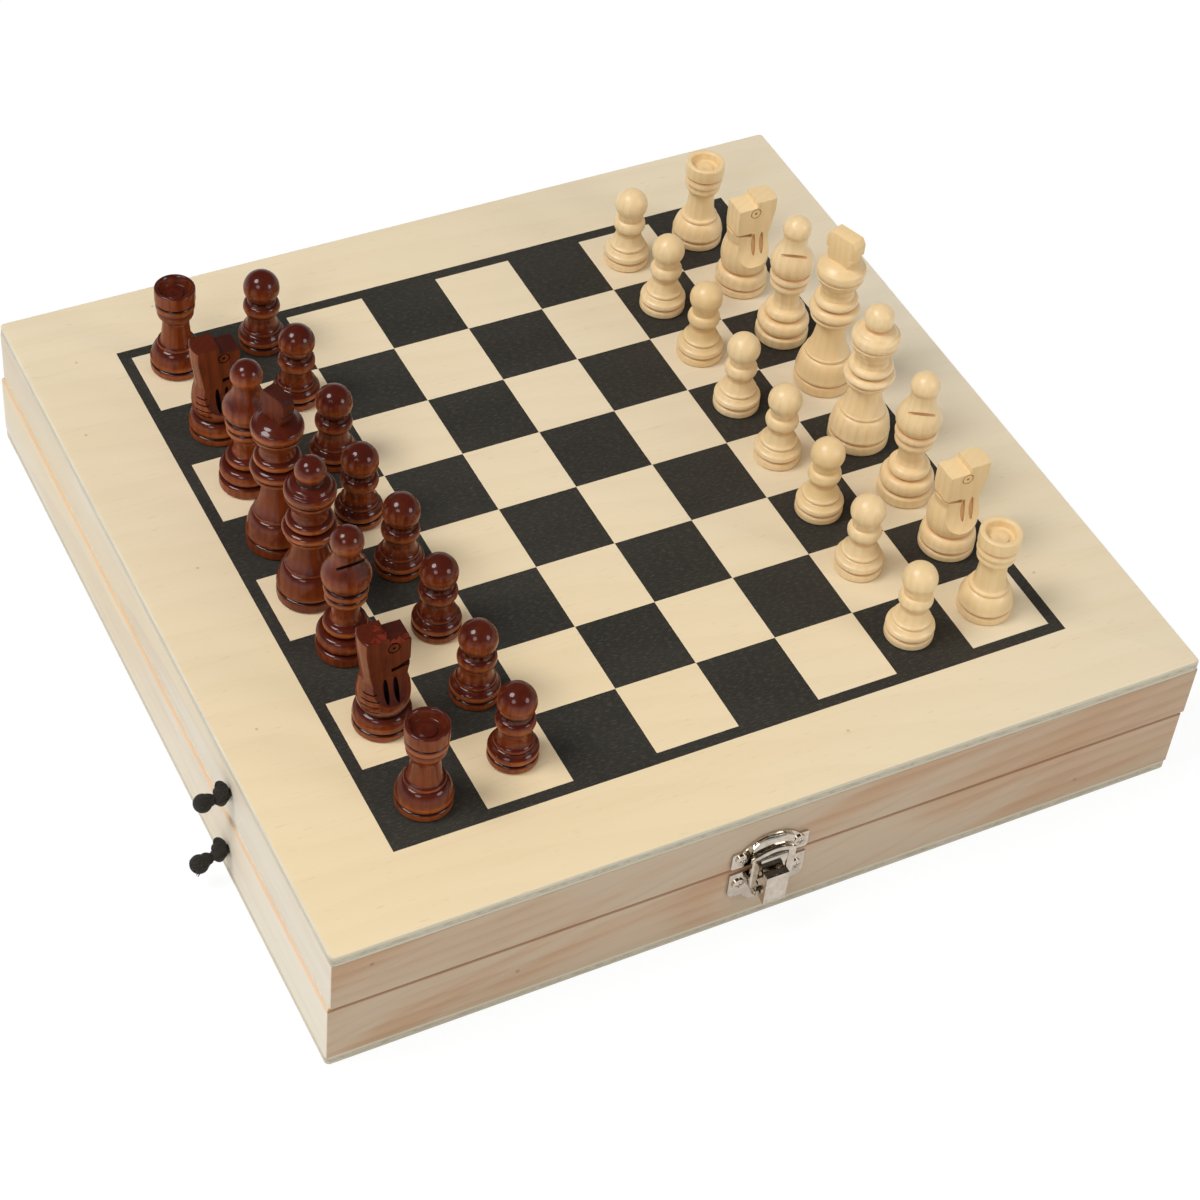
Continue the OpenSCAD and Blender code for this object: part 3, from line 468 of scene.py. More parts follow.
def panel(node, body, outer, lower):
    """A plywood panel, its top brought down by lower.

    outer is +1 where its top is the outside, and -1 where its underside is.
    """
    low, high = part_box(node)
    high.z -= mm(lower)
    shape = block(low, high)
    rounded(shape, [e for e in shape.edges if near(e.verts[0].co.x, e.verts[1].co.x)
                    and near(e.verts[0].co.y, e.verts[1].co.y)], 1.6, 6)
    outside, inside = (high.z, low.z) if outer > 0 else (low.z, high.z)
    rounded(shape, edges_where(shape, lambda co: near(co.z, outside)), 0.6, 4)
    rounded(shape, edges_where(shape, lambda co: near(co.z, inside)), 0.25, 2)
    shape.faces.ensure_lookup_table()
    for face in shape.faces:
        face.material_index = PLY_SIDE if abs(face.normal.z) < 0.92 else 0
    piece = finished(shape, node + "_plywood", body, "plywood", [VENEER, PLY_EDGE], node)
    ply = piece.data.attributes.new("ply", "FLOAT", "POINT")
    for vertex, share in zip(piece.data.vertices, ply.data):
        share.value = (vertex.co.z - low.z) / (high.z - low.z)
    return piece


def rail(node, body, angle, material):
    """A mitred rail; angle says which way its outer face looks: 0 front, 90 right."""
    low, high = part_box(node)
    middle = (low + high) / 2
    turn = Matrix.Rotation(math.radians(angle), 4, "Z")
    size = high - low
    length, depth = (size.x, size.y) if angle % 180 == 0 else (size.y, size.x)
    half = Vector((length / 2, depth / 2, size.z / 2))
    shape = block(-half, half)
    for side in (-1, 1):
        corner = Vector((side * half.x, -half.y, 0))
        cut(shape, corner, (side, 1, 0))
        for lean, inset in ((15, 0.1), (45, 0.26)):
            heading = Vector((side * math.sin(math.radians(lean)),
                              -math.cos(math.radians(lean)), 0))
            cut(shape, corner - heading * mm(inset), heading)
    seam = half.z if body == "base" else -half.z
    rounded(shape, edges_where(shape, lambda co: near(co.z, seam) and co.y < -half.y + mm(0.6)),
            0.7, 3)
    rounded(shape, edges_where(shape, lambda co: near(co.z, seam) and near(co.y, half.y)), 0.4, 2)
    bmesh.ops.transform(shape, matrix=Matrix.Translation(middle) @ turn, verts=shape.verts)
    return finished(shape, node + "_pine", body, "pine", [material], node, 25)


for half_name in ("base", "lid"):
    for place, look in (("front", 0), ("right", 90), ("back", 180), ("left", 270)):
        rail(f"{half_name}_{place}_rail", half_name, look,
             FRONT_PINE_SHADED if place in ("front", "back") else SIDE_PINE)
panel("base_panel", "base", -1, 0)
panel("lid_panel", "lid", 1, INK_PROUD)

print_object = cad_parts["board_print"]
print_object.data.materials.clear()
print_object.data.materials.append(INK)

dressed("dividers", "base", "pine", SIDE_PINE, 0.3)


# ---- Hinges and latch ---------------------------------------------------------------

for node, body in (("hinge_base_leaves", "base"), ("hinge_lid_leaves", "lid"),
                   ("hinge_pins", "base"), ("hinge_base_screws", "base"),
                   ("hinge_lid_screws", "lid"), ("latch_plate", "base"),
                   ("latch_lever", "latch_lever"), ("latch_pin", "base"),
                   ("latch_screws", "base"), ("catch_plate", "lid"), ("catch_screws", "lid")):
    dressed(node, body, "nickel_steel", NICKEL, 0.12)


# ---- Turned pieces ------------------------------------------------------------------

# How far round the kings' finials and each bishop's saw cut face, and the slope of the cuts
FINIAL_TURN = -70
SAW_TURN = {"dark_bishop_1": 160, "dark_bishop_2": 4, "light_bishop_1": -30,
            "light_bishop_2": -30}
SAW_TILT = 45
# The tone steps on from man to man, and two men are clearly yellower than the rest
TONE_STEP = 0.382
YELLOWER = {"light_pawn_3": 3.2, "light_pawn_6": 1.6}
# How much taller some men are than their CAD solids, in millimetres
TALLER = {"dark_knight_1": 1.8, "dark_knight_2": 3.6, "light_knight_1": 2.2,
          "light_knight_2": 0.4}
# The men's undersides are kept clear of the print, in whose plane they would lie
CLEAR_OF_PRINT = 0.02
# The radius of a turned corner: crisp on the dark men, more rubbed down on the light
EDGE_RADIUS = {"dark": 0.16, "light": 0.4}


def arc(centre, radius, start, end, steps):
    angles = [math.radians(start + (end - start) * i / steps) for i in range(steps + 1)]
    return [(centre[0] + radius * math.cos(a), centre[1] + radius * math.sin(a))
            for a in angles]


def curve(start, pull, end, steps):
    """Leaves start towards pull and arrives at end."""
    shares = [i / steps for i in range(steps + 1)]
    return [tuple((1 - t) ** 2 * a + 2 * t * (1 - t) * b + t * t * c
                  for a, b, c in zip(start, pull, end)) for t in shares]


def bead(radius, low, high, bulge, steps=12):
    """A rounded ring between two heights."""
    angles = [math.radians(-90 + 180 * i / steps) for i in range(steps + 1)]
    return [(radius - bulge + bulge * math.cos(a),
             (low + high) / 2 + (high - low) / 2 * math.sin(a)) for a in angles]


def ball(radius, top, stem):
    """A ball up to its top, open below where the stem meets it."""
    below = -math.degrees(math.acos(stem / radius))
    return arc((0, top - radius), radius, below, 90, steps=20)


def disc(radius, height):
    """The round-edged disc at the very bottom."""
    edge = 0.8
    return [(0, 0), *arc((radius - edge, edge), edge, -90, 0, 5),
            *arc((radius - edge, height - edge), edge, 0, 60, 4), (radius - edge, height + 0.1)]


def foot(radius, height, shoulder, top):
    """The disc and groove that all the men share, and a bulge that closes to a shoulder."""
    return [*disc(radius, height),
            *curve((radius - 0.8, height + 0.3), (radius + 0.3, height + 0.7),
                   (radius - 0.1, height + 2.2), 8),
            *curve((radius - 0.2, height + 2.6), (radius - 0.9, top - 2.6),
                   (shoulder + 0.1, top - 1.5), 9),
            *bead(shoulder, top - 1.3, top, 0.3, 6)]


def softened(points, radius):
    """Rounds the sharp corners of a profile."""
    kept = [points[0]]
    for before, here, after in zip(points, points[1:], points[2:]):
        first, second = Vector(here) - Vector(before), Vector(after) - Vector(here)
        if first.length < 1e-6 or second.length < 1e-6:
            continue
        if first.angle(second) < math.radians(24):
            kept.append(here)
            continue
        back = Vector(here) - first.normalized() * min(radius, first.length * 0.45)
        ahead = Vector(here) + second.normalized() * min(radius, second.length * 0.45)
        kept += [tuple(back), *curve(tuple(back), here, tuple(ahead), 3)[1:]]
    return [*kept, points[-1]]


def relief(points):
    """How far each point lies in a groove and stands on a crest, each from 0 to 1."""
    reach, full_groove, full_crest = 2.4, 0.7, 1.1
    walked = [0.0]
    for (r0, z0), (r1, z1) in zip(points, points[1:]):
        walked.append(walked[-1] + math.hypot(r1 - r0, z1 - z0))
    found = []
    for (radius, _), here in zip(points, walked):
        above = [r for (r, _), way in zip(points, walked) if 0 <= way - here < reach]
        below = [r for (r, _), way in zip(points, walked) if 0 <= here - way < reach]
        groove = (min(max(above), max(below)) - radius) / full_groove
        crest = (radius - max(min(above), min(below))) / full_crest
        found.append([min(1.0, max(0.0, share)) for share in (groove, crest)])
    return found


def lathe(points):
    """A shape turned from a profile of (radius, height) in millimetres, base at the origin."""
    shape = bmesh.new()
    layers = [shape.verts.layers.float.new(name) for name in ("groove", "crest")]
    verts = []
    for (radius, height), shares in zip(points, relief(points)):
        verts.append(shape.verts.new(mm(radius, 0, height)))
        for layer, share in zip(layers, shares):
            verts[-1][layer] = share
    edges = [shape.edges.new(pair) for pair in zip(verts, verts[1:])]
    bmesh.ops.spin(shape, geom=[*verts, *edges], cent=(0, 0, 0), axis=(0, 0, 1),
                   angle=math.tau, steps=72, use_merge=True, use_duplicate=False)
    bmesh.ops.remove_doubles(shape, verts=shape.verts, dist=1e-6)
    bmesh.ops.recalc_face_normals(shape, faces=shape.faces)
    return shape


def pawn_profile(h, r, side):
    neck = h - 17
    ball_r, collar = (6.2, 6.3) if side == "dark" else (5.7, 5.6)
    return [*foot(r, 3, r - 1.6, 8.6), *curve((r - 2.2, 8.9), (4.8, 10.2), (collar - 1.3, neck), 9),
            *bead(collar, neck + 0.4, neck + 5.1, 1.4), *ball(ball_r, h, 4.4)]


def rook_profile(h, r, side):
    head, cup, floor = 6.9, 4.5, h - 3.1
    mouth = 5.9 if side == "dark" else 5.3
    return [*foot(r, 3, r - 2.5, 11.5), (r - 3.4, 11.6),
            *curve((r - 3.6, 12), (4.9, 14), (4.5, h - 14), 9),
            *curve((4.5, h - 14), (4.7, h - 12.6), (5.5, h - 12), 5),
            *curve((5.7, h - 11.8), (6.6, h - 10.8), (6, h - 9.2), 7),
            *bead(6.7, h - 8.9, h - 5.9, 0.7), (head - 0.6, h - 5.6), (head, h - 5.1),
            *arc((head - 0.7, h - 0.7), 0.7, 0, 90, 6), (mouth, h - 0.05),
            (mouth - 0.45, h - 0.6), (cup + 0.15, floor + 0.2), (cup - 0.3, floor), (3.1, floor),
            *arc((2.7, floor + 0.15), 0.3, 0, 90, 3), (1.2, floor + 0.35), (0.9, floor + 0.2),
            (0, floor + 0.15)]


def bishop_profile(h, r, side):
    collar = h - 29.4
    ball_r, mitre = (5.3, 9.5) if side == "dark" else (4.9, 9)
    return [*disc(r, 4.2), *bead(r - 0.2, 4.4, 9.8, 1.8), *bead(7.1, 10, 14, 1.8),
            *curve((4.8, 14.2), (4.2, 16), (4.5, 18.6), 6),
            *curve((4.5, 18.6), (4.5, collar - 1.4), (5.5, collar - 0.2), 7),
            *bead(6.7, collar, collar + 3, 0.9), *bead(7.1, collar + 3.3, collar + 6.4, 0.8),
            *curve((6.4, collar + 6.7), (mitre, collar + 10.4), (6.2, collar + 15), 16),
            *curve((6.2, collar + 15), (4.7, collar + 17.4), (4.4, collar + 19.4), 6),
            *ball(ball_r, h, 4.3)]


def royal_collar(z, ring, upper):
    """A lip, a fat ring and a lesser ring, from z up."""
    return [*bead(7.9, z, z + 1.3, 0.5), *bead(8.8, z + 1.5, z + ring, 2.2),
            *bead(7.6, z + ring + 0.3, z + ring + upper, 1.8)]


def crown(z, rise, rim):
    """A straight neck and a bulging rim, up to z + rise."""
    edge = z + rise
    return [*curve((5.9, z), (5.4, z + 2.6), (5.9, edge - 8.5), 8),
            *curve((6, edge - 8), (7, edge - 7.4), (rim - 0.3, edge - 4.2), 8),
            *bead(rim, edge - 4, edge, 0.9)]


def queen_profile(h, r, _):
    collar, rim = h - 31.8, h - 10.9
    return [*foot(r, 4.2, r - 2.5, 14.6), *curve((r - 3, 15), (5.8, 18), (5, collar - 0.3), 11),
            *royal_collar(collar, 4.8, 3.6), *crown(collar + 8.7, rim - collar - 8.7, 8.3),
            (6.9, rim + 0.2), (6.3, rim + 1.1), (4.9, rim + 1.7), (4.2, rim + 1.9),
            *ball(5, h, 3.8)]


def king_profile(h, r, _):
    collar, rim = h - 33.3, h - 11
    return [*foot(r, 4.2, r - 2.4, 14.6), *curve((r - 2.9, 15), (5.2, 19), (4.7, collar - 0.3), 11),
            *royal_collar(collar, 5.9, 3.8), *crown(collar + 10, rim - collar - 10, 8.5),
            (7.2, rim + 0.3), *curve((6.8, rim + 0.5), (5.4, rim + 2.2), (0, rim + 2.6), 8)]


def knight_profile(h, r, _):
    chin = h - 13.4
    return [*disc(r, 3), *curve((r - 0.8, 3.3), (r + 0.3, 3.7), (r - 0.1, 5.2), 8),
            *curve((r - 0.1, 5.4), (r - 0.3, 8.2), (r - 1.9, 8.8), 9), (r - 2.2, 8.9),
            *curve((r - 2, 9.2), (r + 0.4, 14), (r - 2.2, 22), 16),
            *curve((r - 2.2, 22.4), (r - 1.8, 26), (r - 0.6, chin + 8), 8),
            (r - 0.5, h - 0.5), (r - 1, h), (0, h)]


PROFILES = {"pawn": pawn_profile, "rook": rook_profile, "bishop": bishop_profile,
            "queen": queen_profile, "king": king_profile, "knight": knight_profile}


def prism(outline, depth, turn=None):
    """An outline of (x, z) in millimetres, made solid across Y and then turned."""
    shape = bmesh.new()
    face = shape.faces.new([shape.verts.new(mm(x, -depth / 2, z)) for x, z in outline])
    grown = bmesh.ops.extrude_face_region(shape, geom=[face])["geom"]
    bmesh.ops.translate(shape, vec=mm(0, depth, 0),
                        verts=[item for item in grown if isinstance(item, bmesh.types.BMVert)])
    bmesh.ops.transform(shape, matrix=turn or Matrix(), verts=shape.verts)
    bmesh.ops.recalc_face_normals(shape, faces=shape.faces)
    return shape


def of_material(shape, index):
    for face in shape.faces:
        face.material_index = index
    return shape


def carved(shape, cutters):
    """A shape less its cutters; each cut keeps the cutter's material."""
    blank = as_object(shape, "blank")
    knives = [as_object(knife, "knife") for knife in cutters]
    for knife in knives:
        carve = blank.modifiers.new("carve", "BOOLEAN")
        carve.operation, carve.solver, carve.object = "DIFFERENCE", "EXACT", knife
    result = bmesh.new()
    result.from_object(blank, bpy.context.evaluated_depsgraph_get())
    for item in (blank, *knives):
        mesh = item.data
        bpy.data.objects.remove(item)
        bpy.data.meshes.remove(mesh)
    return result


def merged(shape, extra):
    """A shape with another closed one in it."""
    mesh = bpy.data.meshes.new("extra")
    extra.to_mesh(mesh)
    extra.free()
    shape.from_mesh(mesh)
    bpy.data.meshes.remove(mesh)
    return shape


def finial(h, tall, wide, thick):
    """The king's flat finial, wide across and sawn in at its waist, from h up."""
    half = [(0.63, 0), (0.9, 0.38), (0.74, 0.44), (1, 0.5), (1, 0.82), (0.78, 1)]
    outline = [*half, *((-x, z) for x, z in reversed(half))]
    shape = prism([(x * wide, h + z * tall) for x, z in outline], thick,
                  Matrix.Rotation(math.radians(FINIAL_TURN), 4, "Z"))
    bmesh.ops.bevel(shape, geom=shape.edges[:], offset=mm(0.35), offset_type="OFFSET",
                    segments=2, profile=0.5, affect="EDGES", material=-1)
    return of_material(shape, SAWN)


def saw_cut(h, r, angle, drop, start):
    """A thin slab that slants down into the bishop's mitre."""
    slab = block(mm(-r, -2 * r, -0.45), mm(r, 0, 0.45))
    place = (Matrix.Rotation(math.radians(angle), 4, "Z") @ Matrix.Translation(mm(0, start, h - drop))
             @ Matrix.Rotation(math.radians(-SAW_TILT), 4, "X"))
    bmesh.ops.transform(slab, matrix=place, verts=slab.verts)
    return of_material(slab, CUT)


def knight_cutters(h, r, side):
    """What is sawn off a turned blank to leave a horse's head that faces +X."""
    chin, brow, face, cheek = h - 13.4, h - 2.4, 6.7, 4.2
    run_out_r, run_out_z = 15.8, chin - 1.6
    lip = 2.4 if side == "dark" else 0.3
    muzzle = [(face, chin + lip), (face, h + 1), (2 * r, h + 1), (2 * r, chin + 0.1)]
    if side == "dark":
        muzzle = [(1.2, chin - 0.4), *muzzle[:3], (2 * r, chin - 0.4)]
    kerf = [(0.6, chin - 1.5), (0.6, chin + 0.1), (face + 0.2, chin + 0.5),
            (face + 0.2, chin + 0.1)]
    step = [(-0.3, h + 1), (-0.3, brow + 0.5), (0.3, brow), (2 * r, brow - 0.3), (2 * r, h + 1)]
    found = [of_material(prism(muzzle, 4 * r), SAWN), of_material(prism(step, 4 * r), SAWN),
             of_material(prism(kerf, 4 * r), CUT)]
    for way in (-1, 1):
        run_out = arc((cheek + run_out_r, run_out_z), run_out_r, 180, 221, 12)
        outline = [(2 * r, h + 1), (cheek, h + 1), *run_out, (2 * r, run_out_z - 10.5)]
        found.append(of_material(prism([(way * y, z) for y, z in outline], 4 * r,
                                       Matrix.Rotation(math.radians(90), 4, "Z")), SAWN))
        found += cheek_marks(h, way * cheek, way, side)
        if side == "dark":
            found += mane_cuts(r, way)
    return found


def ring(inner, outer, depth):
    """A flat ring about the Y axis, in millimetres."""
    shape = bmesh.new()
    corners = [shape.verts.new(mm(x, y, 0)) for x, y in (
        (inner, -depth / 2), (outer, -depth / 2), (outer, depth / 2), (inner, depth / 2))]
    edges = [shape.edges.new((corners[i], corners[(i + 1) % 4])) for i in range(4)]
    bmesh.ops.spin(shape, geom=[*corners, *edges], cent=(0, 0, 0), axis=(0, 1, 0),
                   angle=math.tau, steps=32, use_merge=True, use_duplicate=False)
    bmesh.ops.remove_doubles(shape, verts=shape.verts, dist=1e-6)
    bmesh.ops.recalc_face_normals(shape, faces=shape.faces)
    return shape


def cheek_marks(h, y, way, side):
    """The ring and dot of the eye and the two grooves on one cheek."""
    at_eye = Matrix.Translation(mm(1.2 if side == "dark" else 0.2, y, h - 4.6))
    dot = prism([(0.5 * math.cos(math.tau * k / 12), 0.5 * math.sin(math.tau * k / 12))
                 for k in range(12)], 0.8)
    marks = [ring(1.65, 2.05, 0.8), dot]
    for mark in marks:
        bmesh.ops.transform(mark, matrix=at_eye, verts=mark.verts)
    low = h - (21.2 if side == "dark" else 17.8)
    for x in (-1.5, 1.8) if side == "dark" else (-3.3, -0.1):
        groove = [(x + 0.85 * math.cos(t), 4.4 * math.sin(t))
                  for t in (math.tau * k / 20 for k in range(20))]
        scoop = prism(groove, 3)
        leaning = Matrix.Rotation(math.radians(15 * way), 4, "X")
        place = Matrix.Translation(mm(0, y + 1.5 * way, low)) @ leaning
        bmesh.ops.transform(scoop, matrix=place, verts=scoop.verts)
        marks.append(scoop)
    shades = [CUT, CUT] + [CUT if side == "dark" else SAWN] * 2
    return [of_material(mark, shade) for mark, shade in zip(marks, shades)]


def mane_cuts(r, way):
    """Four short saw cuts across the turned back beside a cheek."""
    cuts = []
    for k, reach in enumerate((7.95, 7.85, 7.6, 7.2)):
        outline = [*arc((0, 0), reach, 195, 238, 8), *arc((0, 0), r + 1, 238, 195, 8)]
        slab = prism(outline, 0.45, Matrix.Rotation(math.radians(-90 * way), 4, "X"))
        leaning = (Matrix.Translation(mm(0, 0, 13.2 + 2.3 * k))
                   @ Matrix.Rotation(math.radians(-9), 4, "Y"))
        bmesh.ops.transform(slab, matrix=leaning, verts=slab.verts)
        cuts.append(of_material(slab, CUT))
    return cuts


def chips(h):
    """What has broken away from the top of one dark horse's head, the fresh wood bare."""
    broken = []
    for x, y, up, size, turn in ((-1.5, -2.6, 0.3, 2.4, 30), (-4.6, -3.4, 0.5, 2, 55),
                                 (0.9, -3.4, -1.1, 2.2, 20), (3.3, -3.8, -1.9, 1.8, 40),
                                 (0.5, 0.8, -0.2, 2, 15), (5.6, -2.6, -1.7, 1.7, 60),
                                 (-2.6, 1.4, 0.7, 1.8, 75)):
        chip = block(mm(-size, -size, -size) * 0.62, mm(size, size, size) * 0.62)
        place = (Matrix.Translation(mm(x, y, h + up))
                 @ Matrix.Rotation(math.radians(turn), 4, Vector((1, 0.6, 0.4))))
        bmesh.ops.transform(chip, matrix=place, verts=chip.verts)
        broken.append(of_material(chip, FRESH))
    return broken


def tone_of(piece, share):
    """Gives a piece its own share of the deeper tone of its wood."""
    tone = piece.data.attributes.new("tone", "FLOAT", "POINT")
    for point in tone.data:
        point.value = share


def man(node, index):
    """A chessman, turned to the size of its CAD node and stood where that stands."""
    side, kind = node.split("_")[:2]
    low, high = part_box(node)
    height, radius = (high.z - low.z) * 1000 + TALLER.get(node, 0), (high.y - low.y) * 500
    profile = PROFILES[kind](height, radius, side)
    shape = lathe(softened(profile, EDGE_RADIUS[side]))
    if kind == "king":
        size = (11.6, 5.3, 4.8) if side == "dark" else (12.6, 6.1, 5.6)
        shape = merged(shape, finial(height - 10.6, *size))
    if kind == "bishop":
        drop, start = (13, -2.5) if node == "dark_bishop_2" else (14, -3.9)
        shape = carved(shape, [saw_cut(height, radius, SAW_TURN[node], drop, start)])
    if kind == "knight":
        knives = knight_cutters(height, radius, side)
        shape = carved(shape, knives + (chips(height) if node == "dark_knight_2" else []))
        if side == "light":
            bmesh.ops.scale(shape, vec=(-1, 1, 1), verts=shape.verts)
            bmesh.ops.reverse_faces(shape, faces=shape.faces)
    middle = (low + high) / 2
    middle.z = low.z + mm(CLEAR_OF_PRINT)
    bmesh.ops.translate(shape, vec=middle, verts=shape.verts)
    piece = finished(shape, node + "_turned", node, side + "_wood", WOODS[side], node, 40)
    tone_of(piece, YELLOWER.get(node, (index * TONE_STEP) % 1))


MEN = [node for node in sorted(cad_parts)
       if node.startswith(("dark_", "light_")) and "draughts" not in node]
for number, man_node in enumerate(MEN):
    man(man_node, number)

for draughts in ("dark_draughts", "light_draughts"):
    wood = WOODS[draughts.split("_")[0]][0]
    dressed(draughts, "base", draughts.split("_")[0] + "_wood", wood, 0.2)


# ---- Stay cord and knots ------------------------------------------------------------

def smooth_route(points, steps):
    """A smooth curve through all the points, as the CAD cord's."""
    route = []
    for i in range(len(points) - 1):
        here, ahead = points[i], points[i + 1]
        before = points[i - 1] if i else here * 2 - ahead
        after = points[i + 2] if i + 2 < len(points) else ahead * 2 - here
        for k in range(steps):
            t = k / steps
            route.append(0.5 * (2 * here + (ahead - before) * t
                                + (2 * before - 5 * here + 4 * ahead - after) * t * t
                                + (3 * here - before - 3 * ahead + after) * t ** 3))
    return [*route, points[-1]]


def laid_cord(route, diameter, lay, sides=18, strands=3, taper=()):
    """A twisted cord along a route; lay is the length of one turn of its strands."""
    shape = bmesh.new()
    sideways, run, rings = Vector((0, 1, 0)), 0, []
    for i, point in enumerate(route):
        ahead = route[min(i + 1, len(route) - 1)] - route[max(i - 1, 0)]
        ahead.normalize()
        sideways = (sideways - ahead * sideways.dot(ahead)).normalized()
        across = ahead.cross(sideways)
        run += (point - route[i - 1]).length if i else 0
        size = diameter / 2 * (taper[i] if taper else 1)
        ring = []
        for k in range(sides):
            angle = math.tau * k / sides
            lobe = abs(math.cos(strands / 2 * (angle - math.tau * run / lay)))
            radius = size * (0.84 + 0.16 * lobe)
            ring.append(shape.verts.new(point + radius * (
                sideways * math.cos(angle) + across * math.sin(angle))))
        rings.append(ring)
    for first, second in zip(rings, rings[1:]):
        for k in range(sides):
            shape.faces.new((first[k], first[(k + 1) % sides], second[(k + 1) % sides],
                             second[k]))
    shape.faces.new(reversed(rings[0]))
    shape.faces.new(rings[-1])
    return shape


# The cord's thickness, where it leaves the left wall, how high it lies on the floor, and
# the height of the two holes
CORD_D = 3.0
CORD_IN = -138.75
CORD_Y = -68.5
CORD_LIE = 5.6
HOLE_Z = {"base": 13.0, "lid": 39.4}
# The slack cord's route, as in the part: right of its first point, back from the holes,
# height, and what the height is measured from.
CORD_ROUTE = [
    (0, 0, 0, "base"), (5, 0, -0.3, "base"), (10, 0, -2.4, "base"), (15, 0.5, -5, "base"),
    (21, 2, 0.2, "floor"), (28, 6, 0, "floor"), (34, 13, 0, "floor"), (36, 22, 0, "floor"),
    (33, 31, 0, "floor"), (30, 40, 0, "floor"), (32, 50, 0, "floor"), (38, 59, 0, "floor"),
    (41, 69, 0, "floor"), (38, 79, 0, "floor"), (31, 87, 0, "floor"), (22, 91, 0, "floor"),
    (13, 88, 0, "floor"), (8, 80, 0, "floor"), (8, 70, 0, "floor"), (12, 60, 0, "floor"),
    (14, 50, 0, "floor"), (11, 40, 0, "floor"), (7, 31, 0, "floor"), (7, 22, 0, "floor"),
    (10, 14, 0.2, "floor"), (10.5, 8, 3, "floor"), (9.5, 5, 9, "floor"),
    (8.8, 4.2, 15, "floor"), (8.4, 3.8, 21, "floor"), (7.6, 3.2, 27, "floor"),
    (5.6, 1.6, -1.6, "lid"), (2.6, 0.3, -0.2, "lid"), (0, 0, 0, "lid")]


def stay_cord():
    """The cord between the two holes; returns its length in metres."""
    level = {**HOLE_Z, "floor": CORD_LIE}
    points = [mm(CORD_IN + right, CORD_Y + back, level[mark] + up)
              for right, back, up, mark in CORD_ROUTE]
    route = smooth_route(points, 12)
    piece = finished(laid_cord(route, mm(CORD_D), mm(9)), "stay_cord_twisted", None, "cord",
                     [CORD], "stay_cord", 60)
    mm(0, 0, CORD_LIE + 3)
    mm(0, 0, HOLE_Z["lid"])
    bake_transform(piece)
    length = sum((b - a).length for a, b in zip(route, route[1:]))
    mm(CORD_D)
    return length


def knot(node, body, face_x, z, tail, frayed):
    """A pulled-tight knot outside the wall: a fat lump of wound cord and the cord's cut end."""
    shape = laid_cord(smooth_route([mm(x, CORD_Y, z) for x in (CORD_IN, face_x - 1, face_x - 3)], 4),
                      mm(CORD_D), mm(9), 16)
    # The turns that wind up the lump, widest at its foot
    turns, steps, widest, narrowed, foot_z, rise = 2.4, 40, 1.75, 1.1, z - 2.9, 7.2
    route = []
    for i in range(steps + 1):
        t = i / steps
        angle = math.tau * turns * t
        reach = widest - narrowed * t
        route.append(mm(face_x - 3 + reach * math.cos(angle), CORD_Y + reach * math.sin(angle),
                        foot_z + rise * t))
    shape = merged(shape, laid_cord(smooth_route(route, 3), mm(2.9), mm(6), 16))
    core = bmesh.new()
    bmesh.ops.create_uvsphere(core, u_segments=20, v_segments=14, radius=1,
                              matrix=Matrix.Translation(mm(face_x - 3, CORD_Y, z))
                              @ Matrix.Diagonal((*mm(2.4, 2.4, 4.6), 1)))
    shape = merged(shape, core)
    across, drop, end_r = tail
    start, end = Vector((-2.5, -1.2)), Vector((across, drop))
    route = [mm(face_x, CORD_Y, z) + mm(x, 0, y) for x, y in (
        start.lerp(end, share) + Vector((0, 0.5 * math.sin(share * 3.2)))
        for share in (0, 0.25, 0.5, 0.75, 1, 1.25))]
    smooth = smooth_route(route, 6)
    swell = [1 + (end_r / 1.5 - 1) * math.sin(max(0, i / len(smooth) - 0.35) / 0.65 * 2.9) ** 0.6
             for i in range(len(smooth))]
    shape = merged(shape, laid_cord(smooth, mm(2.9), mm(8), taper=swell))
    bud = bmesh.new()
    bmesh.ops.create_uvsphere(bud, u_segments=24, v_segments=16, radius=mm(end_r + 0.5),
                              matrix=Matrix.Translation(smooth[-6]))
    shape = merged(shape, bud)
    if frayed:
        fray(shape, smooth[-1], (smooth[-1] - smooth[-3]).normalized())
    return finished(shape, node + "_tied", body, "cord", [CORD], node, 60)


def fray(shape, tip, heading):
    """A tuft of short threads at the cord's cut end, spread in a spiral."""
    threads, spiral = 40, 2.39996
    turned = heading.to_track_quat("Z", "Y").to_matrix().to_4x4()
    for k in range(threads):
        turn, off = k * spiral, math.sqrt((k + 0.5) / threads)
        lean = Vector((0.5 * off * math.cos(turn), 0.5 * off * math.sin(turn), 1))
        place = (Matrix.Translation(tip) @ turned
                 @ Matrix.Translation(mm(2.3 * off * math.cos(turn), 2.3 * off * math.sin(turn), -0.7))
                 @ lean.to_track_quat("Z", "Y").to_matrix().to_4x4())
        bmesh.ops.create_cone(shape, segments=5, radius1=mm(0.36), radius2=mm(0.14),
                              depth=mm(2.2 + (k % 5) * 0.3), cap_ends=True, matrix=place)


base_face, lid_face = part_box("base_left_rail")[0].x * 1000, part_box("lid_left_rail")[0].x * 1000
tied = [knot("base_knot", "base", base_face, HOLE_Z["base"], (-9.3, -3, 2.6), True),
        knot("lid_knot", "lid", lid_face, HOLE_Z["lid"], (-8.7, -1, 2.5), False)]
print("stay cord length, metres:", round(stay_cord(), 4))


# ---- Stage --------------------------------------------------------------------------

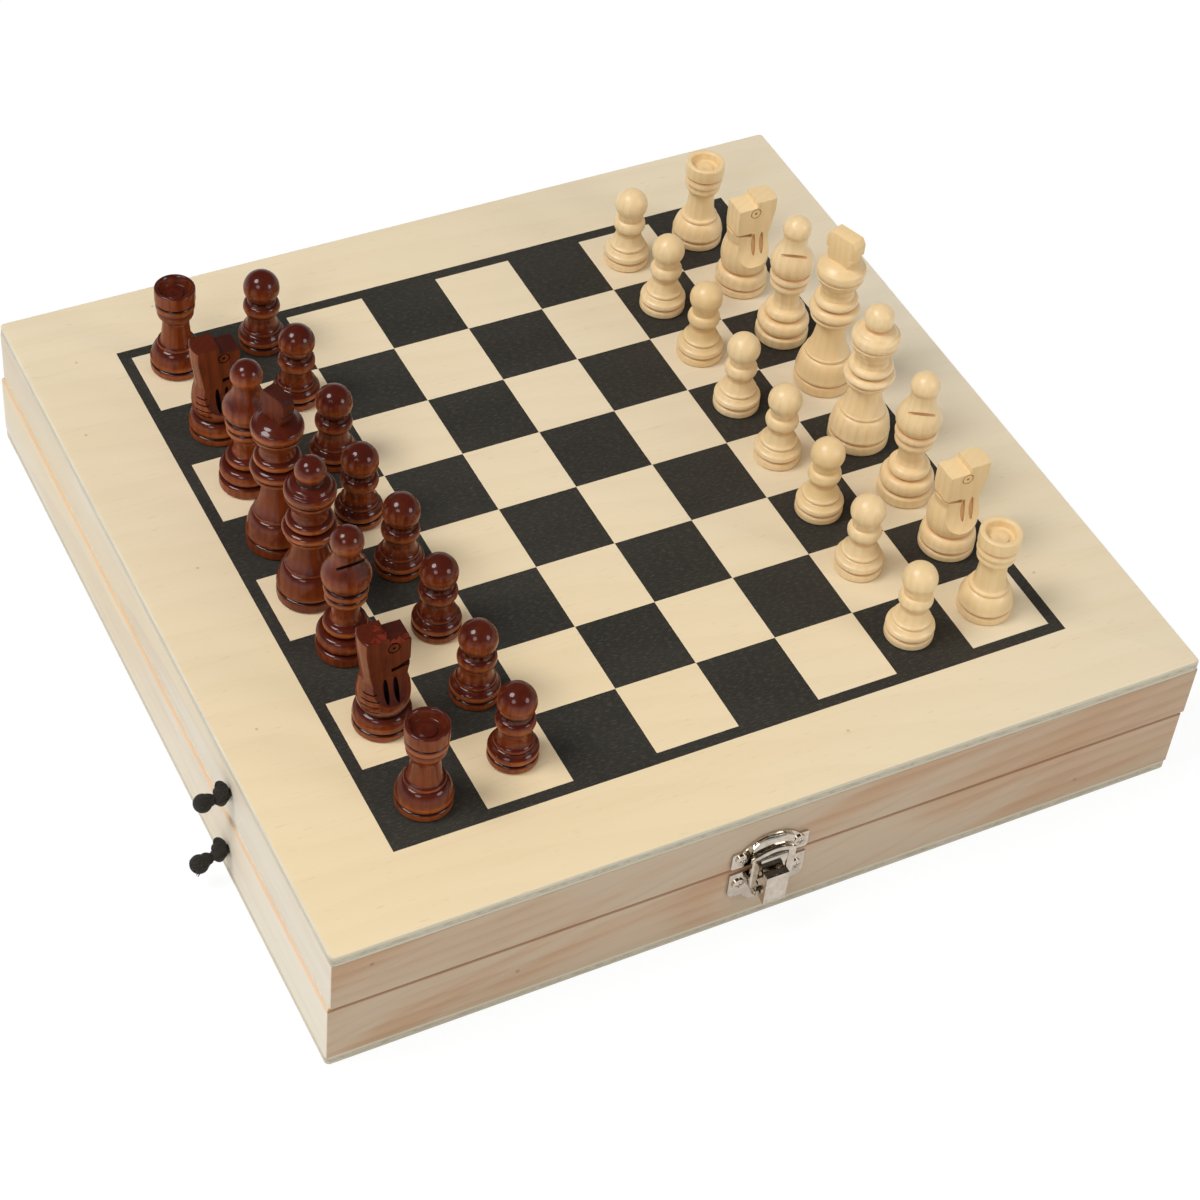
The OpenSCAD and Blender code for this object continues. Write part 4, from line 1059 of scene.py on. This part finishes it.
def floor_finish():
    """White to the camera, with a soft shadow under the object."""
    finish = Finish("floor")
    camera_ray = finish.node("ShaderNodeLightPath", output="Is Camera Ray")
    matt = finish.node("ShaderNodeBsdfDiffuse", {}, {"Color": (0.86, 0.86, 0.86, 1)})
    glow = finish.node("ShaderNodeEmission", {}, {"Color": (1, 1, 1, 1), "Strength": 1.05})
    shader = finish.node("ShaderNodeMixShader", {}, [camera_ray * 0.86, matt, glow])
    finish.node("ShaderNodeOutputMaterial", {}, {"Surface": shader})
    return finish.owner


def studio_room():
    """White to the camera; shiny things see a pale horizon and a dim room above it."""
    horizon, ceiling, diffuse, white = 0.68, 0.096, 0.4, 1.0
    room = Finish("studio", bpy.data.worlds)
    _, _, up = room.split(room.node("ShaderNodeTexCoord", output="Generated"))
    walls = room.node("ShaderNodeMapRange", {"interpolation_type": "SMOOTHSTEP"},
                      [up, 0.02, 0.4, horizon, ceiling])
    glossy_ray = room.node("ShaderNodeLightPath", output="Is Glossy Ray")
    camera_ray = room.node("ShaderNodeLightPath", output="Is Camera Ray")
    lit = room.node("ShaderNodeMix", {}, {0: glossy_ray, 2: diffuse, 3: walls})
    seen = room.node("ShaderNodeMix", {}, {0: camera_ray, 2: lit, 3: white})
    air = room.node("ShaderNodeBackground", {}, {"Color": (1, 1, 1, 1), "Strength": seen})
    room.node("ShaderNodeOutputWorld", {}, {"Surface": air})
    return room.owner


def lamp(name, place, size, power):
    """A round soft lamp that looks at the box."""
    data = bpy.data.lights.new(name, "AREA")
    data.shape, data.size, data.energy = "DISK", size, power
    light = bpy.data.objects.new(name, data)
    bpy.context.scene.collection.objects.link(light)
    aim = Vector((0, 0, 0.03)) - Vector(place)
    light.matrix_world = (Matrix.Translation(place)
                          @ aim.to_track_quat("-Z", "Y").to_matrix().to_4x4())


def build_stage():
    shape = bmesh.new()
    bmesh.ops.create_grid(shape, x_segments=1, y_segments=1, size=4)
    floor = as_object(shape, "floor")
    floor.data.materials.append(floor_finish())
    bpy.context.scene.world = studio_room()
    lamp("key", (-1.6, 0.3, 2.7), 1.3, 52)
    lamp("left", (-1.9, -1.5, 1.9), 1.1, 14)
    lamp("right", (1.6, -1.9, 1.3), 1.1, 16)


build_stage()

bpy.context.scene.view_settings.view_transform = "Standard"
